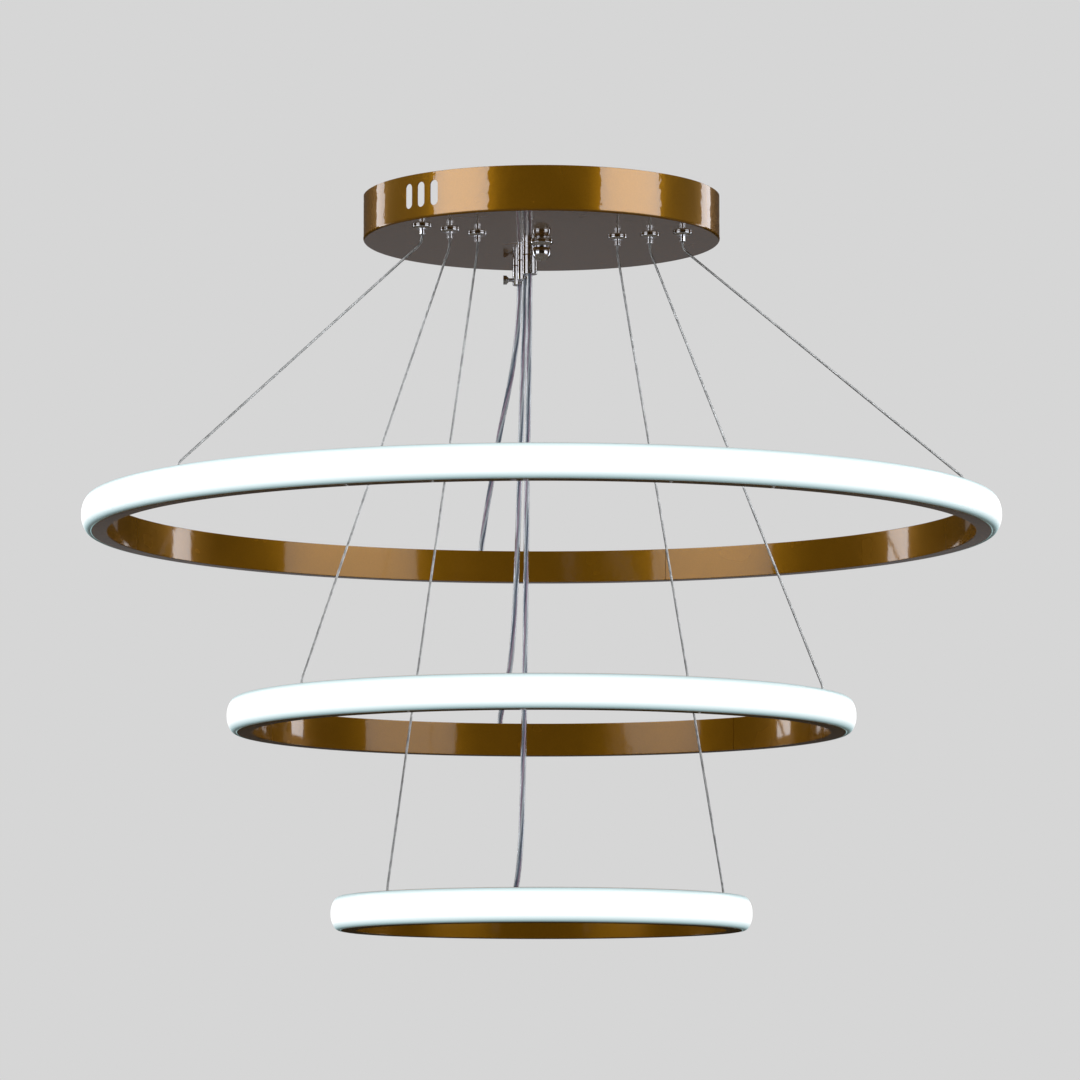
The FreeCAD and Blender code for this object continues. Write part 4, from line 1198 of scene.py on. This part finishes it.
@dataclass
class LightRing:
    """One light ring: the bent metal channel and the opal cover clipped in it."""

    ring: Ring
    seam_azimuth: float
    segments: int
    wall: float = 0.0015
    edge: float = 0.0007
    lip: float = 0.00025
    cord_entry: float = 0.00395
    cable_entry: float = 0.0018
    cover_gap: float = 0.001
    cover_wall: float = 0.0016
    cover_step: float = 0.0003
    cover_fit: float = 0.00015
    nib: float = 0.0003
    cheek_depth: float = 0.0055
    cheek_height: float = 0.0090
    cheek_round: float = 0.022
    corner_round: float = 0.006
    hollow_depth: float = 0.0040
    hollow_height: float = 0.0075
    hollow_round: float = 0.020
    hollow_corner: float = 0.003
    leg: float = 0.0025
    seam_width: float = 0.0006
    seam_depth: float = 0.0008

    def __post_init__(self) -> None:
        """Work out the ring's own radii and heights."""
        self.outer = LAYOUT.outer_radius[self.ring]
        self.metal = self.outer - LAYOUT.bulge
        self.inner = self.metal - LAYOUT.channel_depth
        self.top = -LAYOUT.drop[self.ring]
        self.foot = self.top - LAYOUT.ring_height
        self.body = f"{self.ring.value}_ring"

    def channel(self) -> None:
        """The channel, open outwards, with softened lips, its seam and its three line holes."""
        inner, metal, wall, edge, lip = self.inner, self.metal, self.wall, self.edge, self.lip
        foot, top = self.foot, self.top
        profile = arc(inner + edge, foot + edge, edge, 180, 270, 4)
        profile += [(metal - lip, foot), (metal, foot + lip)]
        profile += [(metal, foot + wall - lip), (metal - lip, foot + wall)]
        profile += [(inner + wall, foot + wall), (inner + wall, top - wall)]
        profile += [(metal - lip, top - wall), (metal, top - wall + lip)]
        profile += [(metal, top - lip), (metal - lip, top)]
        profile += arc(inner + edge, top - edge, edge, 90, 180, 4)
        channel = turned(f"{self.ring.value}_bent_channel", profile, self.segments)
        half, deep, over = self.seam_width / 2, self.seam_depth, 0.001
        start = (inner - over, -half, foot - over)
        cutters = [
            brick("seam", start, (inner + deep, half, top + over)),
            brick("seam", start, (metal + over, half, foot + deep)),
            brick("seam", (inner - over, -half, top - deep), (metal + over, half, top + over)),
        ]
        for cutter in cutters:
            put(cutter, turned_about(self.seam_azimuth))
        for side in Side:
            radius = self.cord_entry if side is Side.REAR else self.cable_entry
            at = LAYOUT.in_plane(side, LAYOUT.anchor_radius(self.ring), top)
            cutters.append(bar("entry", radius, 0.004, 28, at))
        subtract(channel, cutters)
        smooth(channel, 28)
        stand_for(channel, RING_LACQUER, self.body, f"{self.ring.value}_channel")

    def cover(self) -> None:
        """The opal cover: rounded outside, with two legs that clip in the channel."""
        outer, nib = self.outer, self.nib
        low, high = self.foot + self.cover_step, self.top - self.cover_step
        shoulder, leg_end = self.metal + self.cover_gap, self.metal - self.leg
        leg_low = self.foot + self.wall + self.cover_fit
        leg_high = self.top - self.wall - self.cover_fit
        hollow_low, hollow_high = leg_low + self.cover_wall, leg_high - self.cover_wall
        inside = outer - self.cover_wall
        profile = [(leg_end, leg_low), (shoulder - nib, leg_low), (shoulder, leg_low - nib)]
        profile += [(shoulder, low + nib), (shoulder + nib, low)]
        outline = [(shoulder + nib, low), (outer - self.cheek_depth, low)]
        outline += [(outer, low + self.cheek_height), (outer, high - self.cheek_height)]
        outline += [(outer - self.cheek_depth, high), (shoulder + nib, high)]
        rounds = [self.corner_round, self.cheek_round, self.cheek_round, self.corner_round]
        profile += rounded(outline, rounds, 8)
        profile += [(shoulder + nib, high), (shoulder, high - nib)]
        profile += [(shoulder, leg_high + nib), (shoulder - nib, leg_high), (leg_end, leg_high)]
        outline = [(leg_end, hollow_high), (inside - self.hollow_depth, hollow_high)]
        outline += [(inside, hollow_high - self.hollow_height)]
        outline += [(inside, hollow_low + self.hollow_height)]
        outline += [(inside - self.hollow_depth, hollow_low), (leg_end, hollow_low)]
        rounds = [self.hollow_corner, self.hollow_round, self.hollow_round, self.hollow_corner]
        profile += [outline[0]] + rounded(outline, rounds, 4) + [outline[-1]]
        name = self.ring.value
        cover = turned(f"{name}_opal_cover", profile, self.segments, soft=30)
        finish = OpalAcrylic(f"opal_acrylic_{name}", middle=(self.top + self.foot) / 2)
        stand_for(cover, finish, self.body, f"{name}_diffuser")

    def build(self) -> None:
        """Build the channel and the cover."""
        self.channel()
        self.cover()


# --------------------------------------------------------- cables and cords


def tube(
    name: str, points: Sequence[Point], radius: float = 0.0, detail: int = 4, kind: str = "NURBS"
) -> Piece:
    """A curve object with one open spline.

    Args:
        name: The new object's name.
        points: The spline's points in metres.
        radius: The tube's radius; 0 leaves a bare line.
        detail: How finely the tube is rounded.
        kind: "NURBS" runs smoothly past the points, and "POLY" straight from one to the next.

    Returns:
        The curve object.
    """
    curve = bpy.data.curves.new(name, "CURVE")
    curve.dimensions = "3D"
    curve.resolution_u = 10
    curve.bevel_depth = radius
    curve.bevel_resolution = detail
    curve.use_fill_caps = radius > 0
    spline = curve.splines.new(kind)
    spline.points.add(len(points) - 1)
    for point, place in zip(spline.points, points):
        point.co = (*place, 1.0)
    if kind == "NURBS":
        spline.order_u = 3
        spline.use_endpoint_u = True
    piece = bpy.data.objects.new(name, curve)
    bpy.context.collection.objects.link(piece)
    return piece


def as_mesh(piece: Piece) -> Piece:
    """Convert a tube to a mesh and shade it smooth."""
    activate(piece)
    bpy.ops.object.convert(target="MESH")
    bpy.ops.object.shade_smooth()
    return bpy.context.object


def route_line(points: Sequence[Point]) -> list[Vector]:
    """The points that a route's smooth spline passes through."""
    piece = tube("route", points)
    bpy.context.view_layer.update()
    mesh = bpy.data.meshes.new_from_object(piece)
    line = [vertex.co.copy() for vertex in mesh.vertices]
    curve = piece.data
    bpy.data.objects.remove(piece)
    bpy.data.curves.remove(curve)
    bpy.data.meshes.remove(mesh)
    return line


def helix_round(
    line: Sequence[Vector], radius: float, pitch: float, phase: float, steps: int
) -> list[Vector]:
    """A helix that follows a line, steady where the line bends.

    Args:
        line: The line's points.
        radius: The helix's radius.
        pitch: The length of one turn.
        phase: Where it starts, in turns.
        steps: How many points each turn has.

    Returns:
        The helix's points.
    """
    stations = [0.0]
    for a, b in zip(line, line[1:]):
        stations.append(stations[-1] + (b - a).length)
    upright = abs((line[1] - line[0]).normalized().y) < 0.9
    across = Vector((0, 1, 0)) if upright else Vector((1, 0, 0))
    sides = []
    for i in range(len(line)):
        ahead = (line[min(i + 1, len(line) - 1)] - line[max(i - 1, 0)]).normalized()
        across = (across - ahead * across.dot(ahead)).normalized()
        sides.append((across.copy(), ahead.cross(across)))
    count = max(int(stations[-1] / pitch * steps), 2)
    points, span = [], 0
    for n in range(count + 1):
        travelled = stations[-1] * n / count
        while span < len(line) - 2 and stations[span + 1] < travelled:
            span += 1
        share = (travelled - stations[span]) / (stations[span + 1] - stations[span])
        middle = line[span].lerp(line[span + 1], share)
        one = sides[span][0].lerp(sides[span + 1][0], share)
        two = sides[span][1].lerp(sides[span + 1][1], share)
        angle = 2 * math.pi * (travelled / pitch + phase)
        points.append(middle + (one * math.cos(angle) + two * math.sin(angle)) * radius)
    return points


@dataclass
class HungLine:
    """A line from the canopy to a ring."""

    ring: Ring

    def declare(
        self,
        pieces: Sequence[Piece],
        line: Sequence[Vector],
        side: Side,
        exit_z: float,
        end_z: float,
        **facts,
    ) -> None:
        """Args:
            pieces: The cord, then the pieces in it.
            line: The points that it follows; not used.
            side: Where it leaves the canopy; not used.
            exit_z: The height at which it does; not used.
            end_z: The height at which it enters the ring; not used.
            facts: Its diameter, stiffness and lay; not used.
        """
        for piece in pieces:
            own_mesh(piece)


@dataclass
class SteelCable(HungLine):
    """A taut seven-strand steel cable from its gripper to its ring."""

    side: Side
    radius: float = 0.0012
    lay: float = 0.016
    bend: float = 0.016
    top: float = -0.0608
    way_out: float = -0.0533
    entry: float = 0.0045

    def route(self) -> list[Point]:
        """The control points from inside the gripper to the ferrule."""
        line, anchor = LAYOUT.line_radius[self.ring], LAYOUT.anchor_radius(self.ring)
        top, end = self.top, -LAYOUT.drop[self.ring] + 0.008
        span_r, span_z = anchor - line, top - end
        share = self.bend / math.hypot(span_r, span_z)
        low = end - self.entry
        plane = [(line, -0.030), (line, -0.048), (line, top)]
        plane += [(line + span_r * share, top - span_z * share)]
        plane += [(anchor - span_r * share * 0.5, low + span_z * share * 0.5)]
        plane += [(anchor, low), (anchor, end - 0.0125)]
        return [LAYOUT.in_plane(self.side, r, z) for r, z in plane]

    def build(self) -> None:
        line = route_line(self.route())
        wire = self.radius / 3
        strands = [as_mesh(tube("core", line, wire * 1.05, 0, "POLY"))]
        for number in range(6):
            points = helix_round(line, self.radius - wire, self.lay, number / 6, 9)
            strands.append(as_mesh(tube("strand", points, wire * 1.04, 1, "POLY")))
        name = f"{self.ring.value}_{self.side.value}"
        cable = join(f"{name}_stranded_cable", strands)
        stand_for(cable, CABLE_STEEL, "canopy", f"{name}_cable")
        end = -LAYOUT.drop[self.ring] - self.entry
        facts = {"diameter": self.radius * 2, "stiffness": "stiff", "lay": "taut"}
        self.declare([cable], line, self.side, self.way_out, end, **facts)


@dataclass
class PowerCord(HungLine):
    """A clear cord: a PVC jacket over three thin twisted cores, white, rose and slate."""

    phase: float
    plane: Profile
    radius: float = 0.00275
    lay: float = 0.15
    core: float = 0.00066
    start: float = -0.036
    way_out: float = -0.0636
    entry: float = 0.006

    def build(self) -> None:
        name, end = self.ring.value, -LAYOUT.drop[self.ring] - self.entry
        plane = [(self.plane[0][0], self.start)] + self.plane
        plane += [(LAYOUT.anchor_radius(self.ring), end)]
        route = [LAYOUT.in_plane(Side.REAR, r, z) for r, z in plane]
        line = route_line(route)
        pieces = [as_mesh(tube(f"{name}_clear_jacket", route, self.radius))]
        stand_for(pieces[0], CLEAR, "canopy", f"{name}_power_cord")
        cores = {"silver": SILVER_CORE, "rose": ROSE_CORE, "slate": SLATE_CORE}
        for number, (word, finish) in enumerate(cores.items()):
            points = helix_round(line, self.core * 1.2, self.lay, self.phase + number / 3, 36)
            core = as_mesh(tube(f"{name}_{word}_core", points, self.core, 2, "POLY"))
            stand_for(core, finish, "canopy")
            pieces.append(core)
        facts = {"diameter": self.radius * 2, "stiffness": "medium", "lay": "hanging"}
        self.declare(pieces, line, Side.REAR, self.way_out, end, **facts)


# Each cord's (distance from the axis, height) points between its outlet and its ring.
CORD_PLANES: dict[Ring, Profile] = {
    Ring.LARGE: [
        (0.148, -0.086), (0.177, -0.125), (0.232, -0.163), (0.286, -0.190),
        (0.334, -0.226), (0.382, -0.257), (0.413, -0.282), (0.4325, -0.298),
    ],
    Ring.MEDIUM: [
        (0.114, -0.086), (0.122, -0.136), (0.136, -0.196), (0.148, -0.256), (0.161, -0.318),
        (0.177, -0.378), (0.200, -0.429), (0.231, -0.460), (0.265, -0.477), (0.2895, -0.493),
    ],
    Ring.SMALL: [
        (0.080, -0.086), (0.084, -0.138), (0.090, -0.200), (0.097, -0.264), (0.1025, -0.330),
        (0.107, -0.396), (0.1125, -0.460), (0.119, -0.526), (0.128, -0.585), (0.141, -0.634),
        (0.159, -0.661), (0.176, -0.675), (0.1875, -0.685),
    ],
}
# Where each cord's twist starts, in turns.
CORD_PHASES: dict[Ring, float] = {Ring.LARGE: 0.0, Ring.MEDIUM: 0.45, Ring.SMALL: 0.7}


# ------------------------------------------------------------------- studio


def show_to_mirrors(piece: Piece) -> None:
    """Let only glossy rays see a piece."""
    for ray in ("camera", "diffuse", "transmission", "shadow", "volume_scatter"):
        setattr(piece, f"visible_{ray}", False)


@dataclass(frozen=True)
class Glow(Finish):
    """A glow whose tone changes with height, given as (height, colour, strength) from the bottom up."""

    tones: Tones = ()

    def dress(self, tree: Tree) -> None:
        """Set the tones by the height."""
        low, high = self.tones[0][0], self.tones[-1][0]
        height = add_node(tree, "SeparateXYZ", in_Vector=self.place(tree)).outputs["Z"]
        share = add_node(tree, "MapRange", in_Value=height, in_1=low, in_2=high)
        brightest = max(tone[2] for tone in self.tones)
        stops = []
        for z, code, strength in self.tones:
            colour = [value * strength / brightest for value in linear(code)[:3]]
            stops.append(((z - low) / (high - low), (*colour, 1.0)))
        tone = add_node(tree, "ValToRGB", in_Fac=share, ramp=stops)
        glow = add_node(tree, "Emission", in_Color=tone, in_Strength=brightest)
        add_node(tree, "OutputMaterial", in_Surface=glow)


@dataclass(frozen=True)
class Card:
    """A curved card round the lamp that only mirrors show.

    Attributes:
        name: The card's name.
        start: Its first edge in degrees from the camera's direction, positive to the right.
        end: Its other edge.
        tones: Its glow, from its lower edge to its upper.
        distance: How far it stands from the lamp's axis.
    """

    name: str
    start: float
    end: float
    tones: Tones
    distance: float = 3.3

    def build(self) -> None:
        """Bend the card and hide it from everything but mirrors."""
        low, high = self.tones[0][0], self.tones[-1][0]
        deselect()
        bpy.ops.mesh.primitive_cylinder_add(
            vertices=360,
            radius=self.distance,
            depth=high - low,
            end_fill_type="NOTHING",
            location=(0, 0, (low + high) / 2),
        )
        card = bpy.context.object
        card.name = self.name
        settle(card)

        def outside(face: bpy.types.MeshPolygon) -> bool:
            """Whether a face lies outside the card's span."""
            angle = math.degrees(math.atan2(face.center.x, -face.center.y))
            return (angle - self.start) % 360 > self.end - self.start

        select(card, "FACE", outside)
        bpy.ops.mesh.delete(type="FACE")
        bpy.ops.object.mode_set(mode="OBJECT")
        Glow(self.name, tones=self.tones).give(card)
        show_to_mirrors(card)


def flat(low: float, high: float, code: str, strength: float = 1.0) -> Tones:
    """One tone from one height to another."""
    return ((low, code, strength), (high, code, strength))


BLACK, BROWN, GREY, WHITE, SHADE = "#241E14", "#7A7048", "#716F70", "#F4F8FF", "#4A4440"
SOFTBOX = ((-1.1, WHITE, 1.7), (0.1, WHITE, 1.8)) + flat(0.42, 3.2, WHITE, 5.6)
LOW_STRIP, HIGH_STRIP = flat(-1.1, 0.25, WHITE, 4.6), flat(0.25, 2.0, WHITE, 3.3)
SIDES = flat(-1.4, 0.2, BLACK) + flat(0.35, 1.8, BROWN)
REAR_SIDES = flat(-1.6, 0.2, BLACK) + flat(0.4, 1.4, SHADE)
CARDS = (
    Card("left_softbox", -71, -33, SOFTBOX, 3.0),
    Card("right_softbox", 37, 80, SOFTBOX, 3.0),
    Card("left_low_strip", -126, -116, LOW_STRIP, 3.0),
    Card("right_low_strip", 118, 127, LOW_STRIP, 3.0),
    Card("left_high_strip", -130, -119, HIGH_STRIP, 3.0),
    Card("right_high_strip", 123, 137, HIGH_STRIP, 3.0),
    Card("dark_front", -40, 46, flat(-1.6, 1.8, BLACK)),
    Card("dark_left", -130, -66, SIDES),
    Card("dark_right", 76, 130, SIDES),
    Card("dark_rear_left", -166, -130, REAR_SIDES),
    Card("dark_rear_right", 130, 166, REAR_SIDES),
    Card("grey_rear", 166, 194, flat(-1.6, -0.80, BLACK) + flat(-0.68, 0.25, GREY)),
)


@dataclass(frozen=True)
class PaleFloor(Finish):
    """A matt pale floor that looks light and throws little light back up."""

    seen: str = "#D8D8D8"
    bounced: str = "#6E6E6E"
    lift: float = 0.32

    def dress(self, tree: Tree) -> None:
        """Set the darker tone for diffuse rays, the paler one for the rest, and the lift for the camera alone."""
        path = add_node(tree, "LightPath")
        ray, seen = path.outputs["Is Diffuse Ray"], linear(self.seen)
        mix = add_node(tree, "Mix", data_type="RGBA", in_0=ray, in_6=seen, in_7=self.bounced)
        ray = path.outputs["Is Camera Ray"]
        self.surface(
            tree,
            in_Base_Color=mix.outputs[2],
            in_Emission_Strength=add_node(
                tree, "Math", operation="MULTIPLY", in_0=ray, in_1=self.lift
            ),
            in_Emission_Color="#FFFFFF",
            in_Roughness=0.7,
        )


@dataclass
class Studio:
    """The camera, the soft lights, the pale floor and background, and the cards that metal mirrors."""

    lens: float = 176.67
    camera: Point = (-0.0015, -5.1623, -0.9389)
    pitch: float = 6.6138
    pale: str = "#D6D6D6"
    fill: float = 0.5
    floor: float = -1.75
    floor_glow: str = "#5E5B55"
    key_size: float = 1.6
    key_distance: float = 3.0
    key_height: float = 0.8

    def make_camera(self) -> None:
        """The camera that stands where the photograph's camera stood."""
        data = bpy.data.cameras.new("camera")
        data.lens, data.sensor_width, data.clip_end = self.lens, 36.0, 60.0
        camera = bpy.data.objects.new("camera", data)
        camera.location = self.camera
        camera.rotation_euler = (math.radians(90 + self.pitch), 0, 0)
        bpy.context.collection.objects.link(camera)
        bpy.context.scene.camera = camera

    def make_world(self) -> None:
        """A pale world for what is seen or mirrored, and a softer one for what it lights."""
        world = bpy.data.worlds.new("studio")
        bpy.context.scene.world = world
        world.use_nodes = True
        tree = world.node_tree
        tree.nodes.clear()
        path = add_node(tree, "LightPath")
        shown = path.outputs["Is Camera Ray"]
        for kind in ("Is Glossy Ray", "Is Transmission Ray"):
            other = path.outputs[kind]
            shown = add_node(tree, "Math", operation="MAXIMUM", in_0=shown, in_1=other)
        soft = add_node(tree, "Background", in_Color="#FFFFFF", in_Strength=self.fill)
        pale = add_node(tree, "Background", in_Color=self.pale, in_Strength=1.0)
        mix = add_node(tree, "MixShader", in_0=shown, in_1=soft, in_2=pale)
        add_node(tree, "OutputWorld", in_Surface=mix)

    def make_key(self, name: str, side: float, power: float) -> None:
        """A soft lamp that shapes matt pieces and stays out of the mirrors.

        Args:
            name: The lamp's name.
            side: Its place in degrees from the camera's direction, positive to the right.
            power: Its power in watts.
        """
        data = bpy.data.lights.new(name, "AREA")
        data.shape, data.size, data.energy = "SQUARE", self.key_size, power
        light = bpy.data.objects.new(name, data)
        angle, away = math.radians(side), self.key_distance
        light.location = (away * math.sin(angle), -away * math.cos(angle), self.key_height)
        towards = Vector((0, 0, -0.3)) - light.location
        light.rotation_euler = towards.to_track_quat("-Z", "Y").to_euler()
        light.visible_camera = light.visible_glossy = light.visible_transmission = False
        bpy.context.collection.objects.link(light)

    def disc(self, name: str, radius: float, height: float, finish: Finish) -> Piece:
        """A round flat piece of the floor.

        Args:
            name: The new object's name.
            radius: Its radius.
            height: Its height.
            finish: Its finish.

        Returns:
            The disc.
        """
        deselect()
        bpy.ops.mesh.primitive_circle_add(
            vertices=96, radius=radius, fill_type="NGON", location=(0, 0, height)
        )
        disc = bpy.context.object
        disc.name = name
        settle(disc)
        finish.give(disc)
        return disc

    def make_floor(self) -> None:
        """A wide pale floor below the lamp, and the dark tone that mirrors see in its place."""
        floor = self.disc("studio_floor", 9.0, self.floor, PaleFloor("pale_floor"))
        tones = flat(0.0, 1.0, self.floor_glow)
        dark = self.disc("dark_floor", 3.3, self.floor + 0.05, Glow("dark_floor", tones=tones))
        show_to_mirrors(dark)

    def build(self) -> None:
        """Set up the camera, the world, the lights, the cards and the floor."""
        bpy.context.scene.view_settings.view_transform = "Standard"
        self.make_camera()
        self.make_world()
        self.make_floor()
        self.make_key("left_key", -50, 18.0)
        self.make_key("right_key", 60, 12.0)
        for card in CARDS:
            card.build()


# --------------------------------------------------------------------- main


def finish_nodes() -> None:
    """Give every CAD node the finish of its material slot, before pieces take their places."""
    for entry in frame["record"]["subparts"]:
        SLOT_FINISHES[entry["material_slot"]].give(frame["nodes"][entry["node"]])


def main() -> None:
    """Build the chandelier in order and report each piece."""
    logging.basicConfig(level=logging.INFO, format="%(message)s")
    Studio().build()
    finish_nodes()
    for ring in Ring:
        PowerCord(ring, CORD_PHASES[ring], CORD_PLANES[ring]).build()
        for side in (Side.LEFT, Side.RIGHT):
            SteelCable(ring, side).build()
    for group in (Canopy, CanopyFittings, HexNuts, Grippers, CordOutlets, Driver, TerminalBlock):
        group().build()
    LightRing(Ring.LARGE, 72.0, 480).build()
    LightRing(Ring.MEDIUM, 46.3, 400).build()
    LightRing(Ring.SMALL, 285.0, 320).build()


if __name__ == "__main__":
    main()
